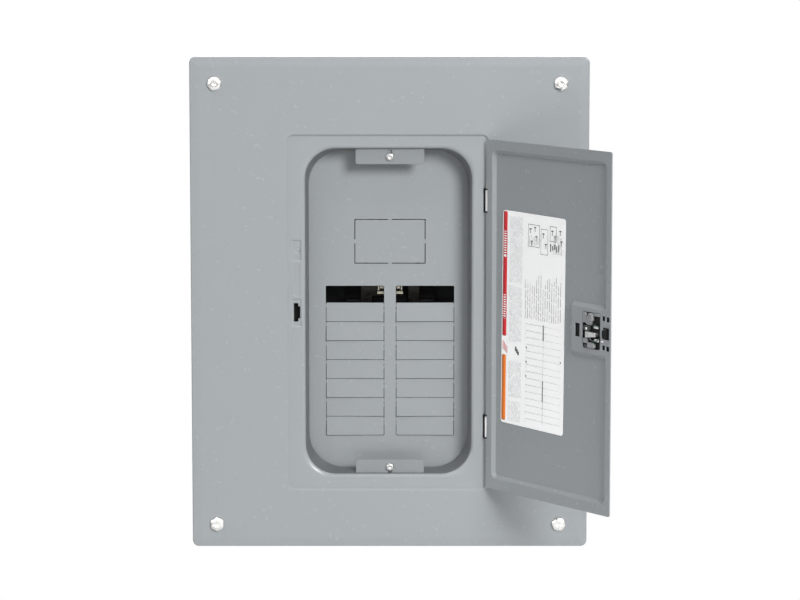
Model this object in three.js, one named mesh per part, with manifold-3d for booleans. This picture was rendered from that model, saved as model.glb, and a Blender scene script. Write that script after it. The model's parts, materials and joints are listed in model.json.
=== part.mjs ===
// Residential load center: a steel enclosure for a wall cavity, a flush cover with a hinged
// door, a deadfront with sixteen breaker spaces, and the bus work behind it.
//
// Millimetres. +X is right, -Y is towards the person facing the panel, +Z is up. The origin
// is the centre of the enclosure's back face. "Front" planes are the ones with lower Y.

import * as THREE from 'three';
import { mergeVertices } from 'three/addons/utils/BufferGeometryUtils.js';
import Module from 'manifold-3d';

const wasm = await Module();
wasm.setup();

// ---------------------------------------------------------------- driving dimensions

const GAP = 0.3; // air left between pieces that touch on the real object
const SHEET = 1.5; // enclosure and cover steel
const THIN_SHEET = 1.2; // door and deadfront steel

const box = {
  width: 362,
  height: 455,
  depth: 95,
  corner: 3,
  tab: { inner: 156, low: 209 }, // corner tabs that take the cover screws
  nailHole: { x: 120, z: 195, radius: 3.5 },
};

const cover = {
  width: 393.7,
  height: 489,
  x: 1.65,
  z: 1.75,
  corner: 6,
  front: -97, // flat face
  slope: 13, // width of the sloping border
  drop: 4, // how far the border falls back
  lip: 2, // straight edge behind the border
};
const recess = { width: 196.9, height: 354.1, x: -0.25, z: -8.15, corner: 5, depth: 2 };
const opening = { width: 164.6, height: 325.5, x: 0.5, z: -7, corner: 30, lip: 3.5 };
const coverBack = cover.front + SHEET;
const recessFloor = cover.front + recess.depth; // front of the floor
const recessBack = recessFloor + SHEET;
const screwAt = { x: 170.5, z: 220 }; // cover screws, from the origin

const deadfront = { width: 203, height: 363, z: -8.5, corner: 8, front: -69 };
const deadfrontBack = deadfront.front + THIN_SHEET;
const centreX = 2; // centre line between the two breaker columns
const space = {
  pitch: 19.05, // three quarters of an inch from breaker to breaker
  rows: 8,
  top: 14.9, // upper edge of the first row
  height: 17,
  inner: 5.9, // column's inner edge, from the centre line
  outer: 64.1, // column's outer edge, from the centre line
  slit: 0.8,
};
const mainBlank = { width: 70.9, height: 44.7, z: 59.4, slit: 0.8, tie: 4 };
const tab = { width: 68, top: 147.2, bottom: -163.5, reach: 7.3, front: -89.7 };

const hinge = {
  x: 98, // vertical axis
  y: -97.6,
  z: [104.5, -121.4],
  barrel: 1.6,
  bore: 0.95,
  pin: 0.8,
  half: 10.3, // half of the barrel's length
  ear: 1.3,
};
const door = {
  edge: 0.9, // from the hinge axis to the hinged edge
  width: 194.5, // from the hinge axis to the free edge
  top: 165.8,
  bottom: -182.5,
  corner: 2.5,
  bandFront: -96.9,
  press: 3.2, // how far the middle is pressed forwards
  openAngle: 126,
};
const bandBack = door.bandFront + THIN_SHEET;
// The pressed field, at its own level, as distances from the hinge axis and heights.
const field = { near: 13.2, far: 184.4, top: 153, bottom: -168.6, corner: 4 };
// The latch pad stays at the band's level. These are its edges at the field's level.
const pad = { near: 133, top: 18.1, bottom: -31.6 };

// The latch: parts at the free edge, as distances from the hinge axis.
const latchZ = -7;
const latch = {
  housing: { near: 139.5, far: 193, height: 38, thick: 3.1 },
  post: { near: 157, far: 178, offset: 12.5, half: 2.2 },
  window: { near: 153, far: 181.5, top: 11, bottom: -24 },
  hookSlot: { near: 185, far: 191.8, top: -1.6, bottom: -12.9 },
  tailSlot: { near: 142, far: 148, top: -1.3, bottom: -14.3 },
  rivetZ: [7, -21],
  spring: { at: 167, across: 11.2, up: 9.2, thick: 0.8, rise: 1.4, height: 3 },
  plate: { near: 153, far: 188.4, thick: 1.15 },
  ribs: [161, 163.3, 165.6, 167.9],
};

// ---------------------------------------------------------------- solids

function solid(geometry) {
  const bare = geometry.clone();
  bare.deleteAttribute('normal');
  bare.deleteAttribute('uv');
  const welded = mergeVertices(bare, 1e-4);
  const vertProperties = new Float32Array(welded.attributes.position.array);
  const triVerts = new Uint32Array(welded.index.array);
  return new wasm.Manifold(new wasm.Mesh({ numProp: 3, vertProperties, triVerts }));
}

function join(...bodies) {
  return bodies.reduce((sum, body) => sum.add(body));
}

function cut(body, ...tools) {
  return tools.reduce((rest, tool) => rest.subtract(tool), body);
}

// A box between two values on each axis.
function block([x0, x1], [y0, y1], [z0, z1]) {
  const geometry = new THREE.BoxGeometry(Math.abs(x1 - x0), Math.abs(y1 - y0), Math.abs(z1 - z0));
  geometry.translate((x0 + x1) / 2, (y0 + y1) / 2, (z0 + z1) / 2);
  return solid(geometry);
}

// A round bar between two values along one axis. The centre is the other two, in XYZ order.
function rod(axis, radius, [from, to], [a, b], sides = 20) {
  const geometry = new THREE.CylinderGeometry(radius, radius, Math.abs(to - from), sides);
  const middle = (from + to) / 2;
  if (axis === 'x') {
    geometry.rotateZ(Math.PI / 2);
    geometry.translate(middle, a, b);
  } else if (axis === 'y') {
    geometry.translate(a, middle, b);
  } else {
    geometry.rotateX(Math.PI / 2);
    geometry.translate(a, b, middle);
  }
  return solid(geometry);
}

// A rectangle in the X-Z plane with round corners.
function roundedRect(width, height, radius, x = 0, z = 0) {
  const [left, right] = [x - width / 2, x + width / 2];
  const [low, high] = [z - height / 2, z + height / 2];
  const shape = new THREE.Shape();
  shape.moveTo(left + radius, low);
  shape.absarc(right - radius, low + radius, radius, -Math.PI / 2, 0);
  shape.absarc(right - radius, high - radius, radius, 0, Math.PI / 2);
  shape.absarc(left + radius, high - radius, radius, Math.PI / 2, Math.PI);
  shape.absarc(left + radius, low + radius, radius, Math.PI, Math.PI * 1.5);
  shape.closePath();
  return shape;
}

function polygon(points) {
  return new THREE.Shape(points.map(([x, z]) => new THREE.Vector2(x, z)));
}

// A shape of the X-Z plane as a slab whose front is at yFront.
function plate(shape, thickness, yFront, segments = 6) {
  const geometry = new THREE.ExtrudeGeometry(shape, {
    depth: thickness,
    bevelEnabled: false,
    curveSegments: segments,
  });
  geometry.rotateX(Math.PI / 2);
  geometry.translate(0, yFront + thickness, 0);
  return solid(geometry);
}

// A slab whose outline grows by `size` over the first `rise` behind its front.
function flared(shape, yFront, yBack, size, rise) {
  const geometry = new THREE.ExtrudeGeometry(shape, {
    depth: yBack - yFront,
    bevelSize: size,
    bevelThickness: rise,
    bevelSegments: 1,
    curveSegments: 5,
  });
  geometry.rotateX(Math.PI / 2);
  geometry.translate(0, yBack + rise, 0);
  const trim = block([-400, 400], [yFront, yBack], [-400, 400]);
  return solid(geometry).intersect(trim);
}

// A raised pan head with a flat slot, its shank running back from yHead.
function screwAlongY(x, z, yHead, head, rise, shank, length) {
  const profile = [
    new THREE.Vector2(0, 0),
    new THREE.Vector2(shank, 0),
    new THREE.Vector2(shank, length),
    new THREE.Vector2(head, length),
    new THREE.Vector2(head, length + rise * 0.55),
    new THREE.Vector2(head * 0.72, length + rise * 0.9),
    new THREE.Vector2(0, length + rise),
  ];
  const geometry = new THREE.LatheGeometry(profile, 12);
  geometry.rotateX(Math.PI);
  geometry.translate(x, yHead + length, z);
  const slot = block([x - head, x + head], [yHead - rise - 1, yHead - rise * 0.45], [z - 0.6, z + 0.6]);
  return cut(solid(geometry), slot);
}

// A hexagon-socket set screw along Y, its socket open to the front.
function setScrew(x, z, yFront, radius, length) {
  const body = rod('y', radius, [yFront, yFront + length], [x, z], 12);
  const socket = rod('y', radius * 0.55, [yFront - 1, yFront + length * 0.5], [x, z], 6);
  return cut(body, socket);
}

// ---------------------------------------------------------------- looks

const looks = {
  paint: { color: 0x9aa2a5, roughness: 0.5, metalness: 0.1 },
  zinc: { color: 0xc9ccce, roughness: 0.28, metalness: 0.9 },
  galvanised: { color: 0xa4a9ab, roughness: 0.45, metalness: 0.8 },
  aluminium: { color: 0xc0c2c4, roughness: 0.4, metalness: 0.85 },
  insulator: { color: 0x17181a, roughness: 0.6, metalness: 0 },
  latchPlastic: { color: 0x3a3d3f, roughness: 0.5, metalness: 0 },
  bond: { color: 0x1f7a3a, roughness: 0.4, metalness: 0.4 },
  label: { color: 0xf0efec, roughness: 0.6, metalness: 0 },
};

function node(name, body, look) {
  const { vertProperties, triVerts } = body.getMesh();
  const geometry = new THREE.BufferGeometry();
  geometry.setAttribute('position', new THREE.BufferAttribute(new Float32Array(vertProperties), 3));
  geometry.setIndex(new THREE.BufferAttribute(new Uint32Array(triVerts), 1));
  geometry.computeVertexNormals();
  const mesh = new THREE.Mesh(geometry, new THREE.MeshStandardMaterial(looks[look]));
  mesh.name = name;
  return mesh;
}

// ---------------------------------------------------------------- enclosure box

// A ring cut part of the way into a wall, as left by the punch around a knockout.
function knockoutRing(axis, wallOuter, inward, radius, centre) {
  const depth = 0.8;
  const width = 0.8;
  const sides = radius > 20 ? 24 : 14;
  const span = [wallOuter - inward, wallOuter + inward * depth];
  const core = [span[0] - inward, span[1] + inward];
  return cut(rod(axis, radius, span, centre, sides), rod(axis, radius - width, core, centre, sides));
}

function knockoutRings() {
  const rings = [];
  for (const side of [-1, 1]) {
    for (const radius of [38, 30]) {
      rings.push(knockoutRing('z', side * (box.height / 2), -side, radius, [0, -48]));
    }
    for (const x of [-140, -95, 95, 140]) {
      rings.push(knockoutRing('z', side * (box.height / 2), -side, 11.2, [x, -48]));
    }
    for (const z of [-195, 195]) {
      rings.push(knockoutRing('x', side * (box.width / 2), -side, 14.2, [-48, z]));
    }
  }
  rings.push(knockoutRing('y', 0, -1, 30, [0, 185]));
  return rings;
}

function enclosureBox() {
  const { width, height, depth, corner } = box;
  const halfW = width / 2;
  const halfH = height / 2;
  const shell = cut(
    plate(roundedRect(width, height, corner), depth, -depth, 2),
    plate(roundedRect(width - 2 * SHEET, height - 2 * SHEET, corner / 2), depth, -depth - SHEET, 2),
  );
  const tabs = [];
  const holes = [];
  const { tab: corners, nailHole } = box;
  const tabY = [-depth + 0.2, -depth + 0.2 + SHEET];
  for (const sx of [-1, 1]) {
    for (const sz of [-1, 1]) {
      const across = [sx * corners.inner, sx * (halfW - 1)];
      tabs.push(block(across, tabY, [sz * corners.low, sz * (halfH - 1)]));
      holes.push(rod('y', 2.1, [-depth - 2, -depth + 4], [sx * screwAt.x, sz * screwAt.z], 12));
      holes.push(rod('y', nailHole.radius, [-3, 1], [sx * nailHole.x, sz * nailHole.z], 12));
    }
  }
  return cut(join(shell, ...tabs), ...holes, ...knockoutRings());
}

// ---------------------------------------------------------------- interior

const panFront = -12;
const pan = { left: -78, right: 82, bottom: -165, top: 150 };
const busFront = -31;
const bus = { at: 24, half: 5.4, thick: 3, bottom: -140, top: 100, stab: 9.5 };
const mainLugs = { at: 23, half: 10.5, bottom: 76, top: 102, depth: 22, wire: 7, thread: 6.2 };
const neutral = { x: 100, front: -46, thick: 8, width: 10, low: -150, high: 144 };
const strap = { front: neutral.front - GAP - 2.5, z: 135, half: 5, thick: 2.5 };
const neutralLugZ = strap.z + 20;
const bond = { x: centreX + 60, z: strap.z }; // the screw that bonds neutral to the box
const interiorScrewX = [-60, 64];
const interiorScrewZ = [-150, 110];

function interiorPan() {
  const { left, right, bottom, top } = pan;
  const tray = block([left, right], [panFront, panFront + THIN_SHEET], [bottom, top]);
  const parts = [tray];
  for (const x of [left, right - THIN_SHEET]) {
    parts.push(block([x, x + THIN_SHEET], [panFront - 12, panFront + 0.5], [bottom + 20, 20]));
  }
  for (const z of [bottom, top - 1]) {
    for (const x of [left + 8, right - 20]) {
      parts.push(block([x, x + 12], [panFront + 0.5, -SHEET - GAP], [z, z + THIN_SHEET - 0.2]));
    }
  }
  const holes = interiorScrewZ.flatMap((z) =>
    interiorScrewX.map((x) => rod('y', 2.3, [-20, -5], [x, z], 16)));
  holes.push(rod('y', 2.3, [-20, -5], [bond.x, bond.z], 16));
  return cut(join(...parts), ...holes);
}

function busInsulator() {
  const back = panFront - GAP;
  const base = block([centreX - 46, centreX + 46], [busFront + GAP + 6, back], [-150, 128]);
  const parts = [base];
  for (let row = 0; row <= space.rows; row += 1) {
    const z = space.top + 1 - row * space.pitch;
    const fin = [busFront - 3, busFront + GAP + 7];
    parts.push(block([centreX - 44, centreX + 44], fin, [z - 1.2, z + 1.2]));
  }
  parts.push(block([centreX - 44, centreX + 44], [busFront - 22, busFront + GAP + 7], [118, 122]));
  const channel = (side) =>
    block([centreX + side * 18.2, centreX + side * 29.8], [busFront - 4, busFront + 4.2], [-200, 112]);
  const stabPath = block([centreX - 19, centreX + 19], [busFront - 4, busFront + 4.2], [-200, 16.5]);
  return cut(join(...parts), channel(-1), channel(1), stabPath);
}

// One hot leg: a strip with a pad for its lug, and a two-finger stab at every second row.
function lineBus(side) {
  const x = centreX + side * bus.at;
  const depth = [busFront, busFront + bus.thick];
  const strip = block([x - bus.half, x + bus.half], depth, [bus.bottom, bus.top]);
  const foot = block([centreX + side * 12, centreX + side * 34], depth, [74, 104]);
  const parts = [strip, foot];
  for (let row = side < 0 ? 0 : 1; row < space.rows; row += 2) {
    const z = space.top - space.height / 2 - row * space.pitch;
    const ends = [centreX - side * 13, centreX + side * 20];
    parts.push(block(ends, depth, [z - 5, z + 5]));
    for (const stab of [centreX - bus.stab, centreX + bus.stab]) {
      parts.push(block([stab - 3.4, stab + 3.4], [busFront - 14, busFront + 1], [z - 1.3, z + 1.3]));
    }
  }
  return join(...parts);
}

function mainLug(side) {
  const { at, half, bottom, top, depth } = mainLugs;
  const x = centreX + side * at;
  const back = busFront - GAP;
  const body = block([x - half, x + half], [back - depth, back], [bottom, top]);
  const wire = rod('z', mainLugs.wire, [bottom - 6, top + 8], [x, back - 10], 14);
  const middle = (bottom + top) / 2;
  const thread = rod('y', mainLugs.thread, [back - depth - 8, back - 12], [x, middle], 14);
  return cut(body, wire, thread);
}

function mainLugScrew(side) {
  const { at, bottom, top, depth, thread } = mainLugs;
  const front = busFront - GAP - depth - 2.5;
  return setScrew(centreX + side * at, (bottom + top) / 2, front, thread - GAP, 11);
}

// An aluminium bar with a row of wire screws on its face.
function neutralBar(side) {
  const x = centreX + side * neutral.x;
  const { front, thick, width, low, high } = neutral;
  const parts = [block([x - width / 2, x + width / 2], [front, front + thick], [low, high])];
  for (let z = low + 10; z < strap.z - 2 * strap.half; z += 11.5) {
    parts.push(rod('y', 3.4, [front - 1.8, front + 1], [x, z], 8));
  }
  return join(...parts);
}

// A moulded stand-off from the back wall to a neutral bar.
function neutralPost(side, z) {
  const x = centreX + side * neutral.x;
  const top = neutral.front + neutral.thick + GAP;
  const foot = block([x - 9, x + 9], [-SHEET - GAP - 4, -SHEET - GAP], [z - 9, z + 9]);
  const stem = block([x - 5, x + 5], [top, -SHEET - GAP - 3], [z - 6, z + 6]);
  return join(foot, stem);
}

// The bar that joins the two neutral bars, with a pad for the neutral lug.
function neutralStrap() {
  const { front, z, half, thick } = strap;
  const reach = neutral.x + neutral.width / 2;
  const bar = block([centreX - reach, centreX + reach], [front, front + thick], [z - half, z + half]);
  const lugPad = block([centreX - 11, centreX + 11], [front, front + thick], [z, neutralLugZ + 12]);
  const bondHole = rod('y', 2.3, [front - 3, front + 6], [bond.x, bond.z], 16);
  return cut(join(bar, lugPad), bondHole);
}

function neutralLug() {
  const back = strap.front - GAP;
  const height = [neutralLugZ - 12, neutralLugZ + 12];
  const body = block([centreX - 10.5, centreX + 10.5], [back - 17, back], height);
  const wire = rod('z', 5.6, [neutralLugZ - 20, neutralLugZ + 20], [centreX, back - 7.5], 14);
  const thread = rod('y', 5.2, [back - 25, back - 9], [centreX, neutralLugZ], 14);
  return cut(body, wire, thread);
}

function neutralLugScrew() {
  return setScrew(centreX, neutralLugZ, strap.front - GAP - 18, 4.9, 8);
}

const ground = { x: -158, z: -110, width: 9, length: 110, front: -20 };
const groundScrewZ = [ground.z - ground.length / 2 + 6, ground.z + ground.length / 2 - 6];

function groundBar() {
  const { x, z, width, length, front } = ground;
  const low = z - length / 2;
  const parts = [block([x - width / 2, x + width / 2], [front, front + 8], [low, low + length])];
  const holes = [];
  for (let i = 0; i < 8; i += 1) {
    parts.push(rod('y', 3.3, [front - 1.8, front + 1], [x, low + 16 + i * 11.2], 8));
  }
  for (const end of groundScrewZ) {
    parts.push(block([x - 4, x + 4], [front + 7, -SHEET - GAP], [end - 4, end + 4]));
    holes.push(rod('y', 2.2, [front - 2, 0], [x, end], 12));
  }
  return cut(join(...parts), ...holes);
}

// ---------------------------------------------------------------- cover

// The cover's outside as a full slab: a flat face inside a sloping border.
function coverSlab(inset, yFront, yBack) {
  const { width, height, x, z, slope, drop, corner } = cover;
  const flat = roundedRect(width - 2 * slope, height - 2 * slope, 0.01, x, z);
  const rim = roundedRect(width - 2 * inset, height - 2 * inset, corner - inset, x, z);
  return flared(flat, yFront, yBack, slope, drop).intersect(plate(rim, yBack - yFront, yFront, 4));
}

// A rectangle with its edges moved out by `grow`.
function grown({ width, height, corner, x = 0, z = 0 }, grow) {
  return roundedRect(width + 2 * grow, height + 2 * grow, corner + grow, x, z);
}

function recessBlock(grow, yFront, yBack) {
  return plate(grown(recess, grow), yBack - yFront, yFront, 4);
}

function openingBlock(grow, yFront, yBack) {
  return plate(grown(opening, grow), yBack - yFront, yFront, 8);
}

// The keeper: a slot for the latch hook, wider over its middle.
const keeper = { left: -93.3, right: -88.2, wide: -86, top: 2.1, bottom: -16.4, notch: 3.3 };

// The slots in the cover that the two hinges pass through.
const hingeSlot = { width: 5.8, height: 25.2, corner: 1.4, inward: 0.7 };

function keeperSlot() {
  const { left, right, wide, top, bottom, notch } = keeper;
  const through = [recessFloor - 2, recessBack + 2];
  return join(
    block([left, right], through, [bottom, top]),
    block([left + 1, wide], through, [bottom + notch, top - notch]),
  );
}

function coverTrim() {
  const yBack = cover.front + cover.drop + cover.lip;
  const skin = cut(coverSlab(0, cover.front, yBack), coverSlab(SHEET, coverBack, yBack + 1));
  const pocket = recessBlock(SHEET, cover.front, recessBack);
  const lip = openingBlock(SHEET, recessFloor, recessFloor + opening.lip);
  const blank = cut(
    join(skin, pocket, lip),
    recessBlock(0, cover.front - 1, recessFloor),
    openingBlock(0, recessFloor - 1, 0),
    keeperSlot(),
  );
  const holes = [];
  for (const x of [-screwAt.x, screwAt.x]) {
    for (const z of [-screwAt.z, screwAt.z]) {
      holes.push(rod('y', 2.6, [cover.front - 2, coverBack + 2], [x, z], 16));
    }
  }
  const { width, height, corner, inward } = hingeSlot;
  for (const z of hinge.z) {
    const slot = roundedRect(width, height, corner, hinge.x - inward, z);
    holes.push(plate(slot, 8, cover.front - 1, 4));
  }
  return cut(blank, ...holes);
}

// A keyholed tab that reaches from behind the recess floor into the opening.
function coverTab(up) {
  const screwZ = up > 0 ? tab.top : tab.bottom;
  const tip = screwZ - up * tab.reach;
  const edge = opening.z + up * (opening.height / 2 + SHEET + 1.2);
  const foot = edge + up * 8;
  const face = roundedRect(tab.width, Math.abs(edge - tip), 2, centreX, (edge + tip) / 2);
  const [left, right] = [centreX - tab.width / 2, centreX + tab.width / 2];
  const footFront = recessBack + GAP;
  const body = join(
    plate(face, THIN_SHEET, tab.front, 4),
    block([left, right], [footFront, tab.front + THIN_SHEET], [edge - up * THIN_SHEET, edge]),
    block([left, right], [footFront, footFront + THIN_SHEET], [edge - up * THIN_SHEET, foot]),
  );
  return cut(
    body,
    rod('y', 2.4, [tab.front - 1, tab.front + 3], [centreX, screwZ], 16),
    block([centreX - 1.8, centreX + 1.8], [tab.front - 1, tab.front + 3], [screwZ, screwZ + up * 7]),
  );
}

function hingeLeaf(z) {
  const y = recessBack + GAP;
  const half = hinge.half + hinge.ear + GAP;
  const parts = [block([85, 100], [y, y + 1], [z - half, z + half])];
  const bores = [];
  for (const end of [-1, 1]) {
    const near = z + end * (hinge.half + GAP);
    const far = near + end * hinge.ear;
    parts.push(block([95.6, 99.7], [hinge.y - 1.5, y + 0.5], [near, far]));
    bores.push(rod('z', hinge.bore, [near - end, far + end], [hinge.x, hinge.y], 16));
  }
  return cut(join(...parts), ...bores);
}

function hingePin(z) {
  const half = hinge.half + hinge.ear + GAP + 0.4;
  return rod('z', hinge.pin, [z - half, z + half], [hinge.x, hinge.y], 16);
}

// ---------------------------------------------------------------- deadfront

// How far each closed space leans, in degrees: forwards or back, and from side to side.
function lean(row, column) {
  return {
    tip: 1.6 * Math.sin(2.3 * row + 1.9 * column + 0.4),
    twist: 0.5 * Math.sin(3.7 * row + 2.6 * column + 1),
  };
}

function twistout(row, column) {
  const side = column === 0 ? -1 : 1;
  const width = space.outer - space.inner - 2 * space.slit;
  const height = space.pitch - space.slit;
  const x = centreX + (side * (space.inner + space.outer)) / 2;
  const top = space.top - space.height - (row - 1) * space.pitch;
  const { tip, twist } = lean(row, column);
  const geometry = new THREE.BoxGeometry(width, THIN_SHEET, height);
  geometry.translate(0, 0, -height / 2);
  geometry.rotateX(THREE.MathUtils.degToRad(tip));
  geometry.rotateZ(THREE.MathUtils.degToRad(twist));
  geometry.translate(x, deadfront.front + THIN_SHEET / 2, top);
  const ties = [-1, 1].map((end) => {
    const edge = x + (end * width) / 2;
    const across = [edge - end, edge + end * 2 * space.slit];
    return block(across, [deadfront.front + 0.1, deadfrontBack - 0.1], [top - 5.5, top - 2.5]);
  });
  return join(solid(geometry), ...ties);
}

function mainBlankSlit() {
  const { width, height, z, slit, tie } = mainBlank;
  const through = [deadfront.front - 1, deadfrontBack + 1];
  const frame = cut(
    block([centreX - width / 2, centreX + width / 2], through, [z - height / 2, z + height / 2]),
    block(
      [centreX - width / 2 + slit, centreX + width / 2 - slit],
      [through[0] - 1, through[1] + 1],
      [z - height / 2 + slit, z + height / 2 - slit],
    ),
  );
  return cut(
    frame,
    block([-100, 100], through, [z - tie / 2, z + tie / 2]),
    block([centreX - tie / 2, centreX + tie / 2], through, [z - 40, z + 40]),
  );
}

function deadfrontPlate() {
  const { height, z, front } = deadfront;
  const rim = coverBack + 0.4;
  const tub = cut(
    plate(grown(deadfront, 0), deadfrontBack - rim, rim, 4),
    plate(grown(deadfront, -THIN_SHEET), front - rim + 1, rim - 1, 4),
  );
  const parts = [tub];
  const holes = [mainBlankSlit()];
  const columnBottom = space.top - space.height - (space.rows - 1) * space.pitch;
  for (const side of [-1, 1]) {
    const span = [centreX + side * space.inner, centreX + side * space.outer];
    holes.push(block(span, [front - 1, deadfrontBack + 1], [columnBottom, space.top]));
  }
  const lugFront = tab.front + THIN_SHEET + 0.5;
  const lugDepth = [lugFront, lugFront + THIN_SHEET];
  for (const up of [-1, 1]) {
    const screwZ = up > 0 ? tab.top : tab.bottom;
    const wall = z + up * (height / 2 - 0.5);
    parts.push(block([centreX - 29, centreX + 29], lugDepth, [screwZ - up * 5.5, wall]));
    holes.push(rod('y', 1.9, [lugFront - 1, lugFront + 3], [centreX, screwZ], 16));
  }
  const plates = [];
  for (let row = 1; row < space.rows; row += 1) {
    plates.push(twistout(row, 0), twistout(row, 1));
  }
  return join(cut(join(...parts), ...holes), ...plates);
}

// ---------------------------------------------------------------- door, drawn closed

const fromHinge = (distance) => hinge.x - distance;

// The outline of the pressed field, grown outwards: a rounded rectangle less the latch pad.
function fieldOutline(grow) {
  const near = fromHinge(field.near) + grow;
  const far = fromHinge(field.far) - grow;
  const top = field.top + grow;
  const bottom = field.bottom - grow;
  const r = field.corner;
  const padNear = fromHinge(pad.near) - grow;
  const padTop = pad.top - grow;
  const padBottom = pad.bottom + grow;
  const shape = new THREE.Shape();
  shape.moveTo(far + r, bottom);
  shape.absarc(near - r, bottom + r, r, -Math.PI / 2, 0);
  shape.absarc(near - r, top - r, r, 0, Math.PI / 2);
  shape.absarc(far + r, top - r, r, Math.PI / 2, Math.PI);
  shape.lineTo(far, padTop);
  shape.lineTo(padNear, padTop);
  shape.lineTo(padNear, padBottom);
  shape.lineTo(far, padBottom);
  shape.absarc(far + r, bottom + r, r, Math.PI, Math.PI * 1.5);
  shape.closePath();
  return shape;
}

const fieldFront = door.bandFront - door.press;
const fieldBack = fieldFront + THIN_SHEET;

// A box between two distances from the hinge axis.
function doorBlock(near, far, depth, height) {
  return block([fromHinge(near), fromHinge(far)], depth, height);
}

function padHoles() {
  const through = [door.bandFront - 1, bandBack + 1];
  const holes = [latch.window, latch.hookSlot, latch.tailSlot].map(({ near, far, top, bottom }) =>
    doorBlock(near, far, through, [bottom, top]));
  for (const z of latch.rivetZ) {
    holes.push(doorBlock(183.4, 186.2, through, [z - 2, z + 2]));
    holes.push(doorBlock(189.4, 192.2, through, [z - 2.4, z + 1.6]));
  }
  return holes;
}

function doorPanel() {
  const middleX = fromHinge((door.edge + door.width) / 2);
  const middleZ = (door.top + door.bottom) / 2;
  const sheet = roundedRect(door.width - door.edge, door.top - door.bottom, door.corner, middleX, middleZ);
  const band = plate(sheet, THIN_SHEET, door.bandFront, 4);
  const raised = flared(fieldOutline(0), fieldFront, door.bandFront + 0.5, door.press, door.press);
  const hollow = flared(fieldOutline(-0.5), fieldBack, bandBack + 1, door.press, door.press);
  const notches = hinge.z.map((z) =>
    doorBlock(2.9, 0, [door.bandFront - 1, bandBack + 1], [z - 12.4, z + 12.4]));
  return cut(join(band, raised), hollow, ...padHoles(), ...notches);
}

// A rolled barrel around the pin, with a short strap welded to the front of the band.
function hingeKnuckle(z) {
  const span = [z - hinge.half, z + hinge.half];
  const strapBack = door.bandFront - GAP;
  const strap = doorBlock(0.3, 8.6, [strapBack - 0.9, strapBack], [span[0] + 0.5, span[1] - 0.5]);
  const barrel = rod('z', hinge.barrel, span, [hinge.x, hinge.y], 20);
  const bore = rod('z', hinge.bore, [span[0] - 1, span[1] + 1], [hinge.x, hinge.y], 16);
  return cut(join(barrel, strap), bore);
}

const label = { near: 23.5, far: 121.5, top: 97, bottom: -114, lean: 0.8 };

function directoryLabel() {
  const width = label.far - label.near;
  const height = label.top - label.bottom;
  const sheet = new THREE.ExtrudeGeometry(roundedRect(width, height, 2), {
    depth: 0.25,
    bevelEnabled: false,
    curveSegments: 4,
  });
  sheet.rotateX(Math.PI / 2);
  sheet.rotateY(THREE.MathUtils.degToRad(-label.lean));
  const middle = fromHinge(label.near + width / 2);
  sheet.translate(middle, fieldBack + GAP + 0.25, label.bottom + height / 2);
  return solid(sheet);
}

// The latch's moulded tray, in the pocket on the outside of the pad.
function latchHousing() {
  const { near, far, height, thick } = latch.housing;
  const { post } = latch;
  const back = door.bandFront - GAP;
  const outline = roundedRect(far - near, height, 2, fromHinge((near + far) / 2), latchZ);
  const tray = plate(outline, thick, back - thick, 4);
  const channel = doorBlock(151, far + 1, [back - 1.7, back + 1], [latchZ - 7.2, latchZ + 7.2]);
  const grip = doorBlock(155, 180, [back - 5, back + 1], [latchZ - 5.5, latchZ + 5.5]);
  const posts = [-1, 1].map((side) => {
    const z = latchZ - 0.5 + side * post.offset;
    const reach = [back - 1, bandBack + 2.2];
    return doorBlock(post.near, post.far, reach, [z - post.half, z + post.half]);
  });
  return join(cut(tray, channel, grip), ...posts);
}

// The leaf spring that holds the slide at either end of its travel.
function latchSpring() {
  const { at, across, up, thick, rise, height } = latch.spring;
  const x = fromHinge(at);
  const oval = (a, b) => new THREE.Shape().absellipse(x, latchZ - 0.5, a, b, 0, Math.PI * 2);
  const y = bandBack + rise;
  return cut(
    plate(oval(across, up), height, y, 14),
    plate(oval(across - thick, up - thick), height + 3, y - 1, 14),
  );
}

// The slide: a plate with a ribbed thumb piece in front and a hook through the door behind.
function latchSlide() {
  const { near, far, thick } = latch.plate;
  const back = door.bandFront - GAP - 0.2;
  const front = back - thick;
  const barbFront = recessBack + 0.4;
  const barbBack = barbFront + 1.9;
  const hookZ = [latchZ - 4.2, latchZ + 3.7];
  const ribs = latch.ribs.map((w) =>
    doorBlock(w, w + 0.8, [front - 3.7, front - 2.5], [latchZ - 4, latchZ + 4]));
  return join(
    doorBlock(near, far, [front, back], [latchZ - 6.6, latchZ + 6.6]),
    doorBlock(160, 169, [front - 3, back], [latchZ - 4.6, latchZ + 4.6]),
    doorBlock(157, 175, [front, bandBack + 1], [latchZ - 6.4, latchZ + 5.4]),
    doorBlock(158.5, 172.5, [front, bandBack + 4], [latchZ - 3.6, latchZ + 1.6]),
    doorBlock(far - 1.5, far, [front, barbBack], hookZ),
    doorBlock(far - 1.4, far + 2.2, [barbFront, barbBack], hookZ),
    ...ribs,
  );
}

// ---------------------------------------------------------------- assembly

const loadCenter = new THREE.Group();

loadCenter.add(node('enclosure_box', enclosureBox(), 'paint'));
loadCenter.add(node('interior_pan', interiorPan(), 'galvanised'));
loadCenter.add(node('bus_insulator', busInsulator(), 'insulator'));
for (const [side, word] of [[-1, 'left'], [1, 'right']]) {
  loadCenter.add(node(`line_bus_${word}`, lineBus(side), 'aluminium'));
  loadCenter.add(node(`main_lug_${word}`, mainLug(side), 'aluminium'));
  loadCenter.add(node(`main_lug_screw_${word}`, mainLugScrew(side), 'zinc'));
  loadCenter.add(node(`neutral_bar_${word}`, neutralBar(side), 'aluminium'));
  loadCenter.add(node(`neutral_post_${word}_upper`, neutralPost(side, 60), 'insulator'));
  loadCenter.add(node(`neutral_post_${word}_lower`, neutralPost(side, -120), 'insulator'));
}
loadCenter.add(node('neutral_strap', neutralStrap(), 'aluminium'));
loadCenter.add(node('neutral_lug', neutralLug(), 'aluminium'));
loadCenter.add(node('neutral_lug_screw', neutralLugScrew(), 'zinc'));
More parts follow.
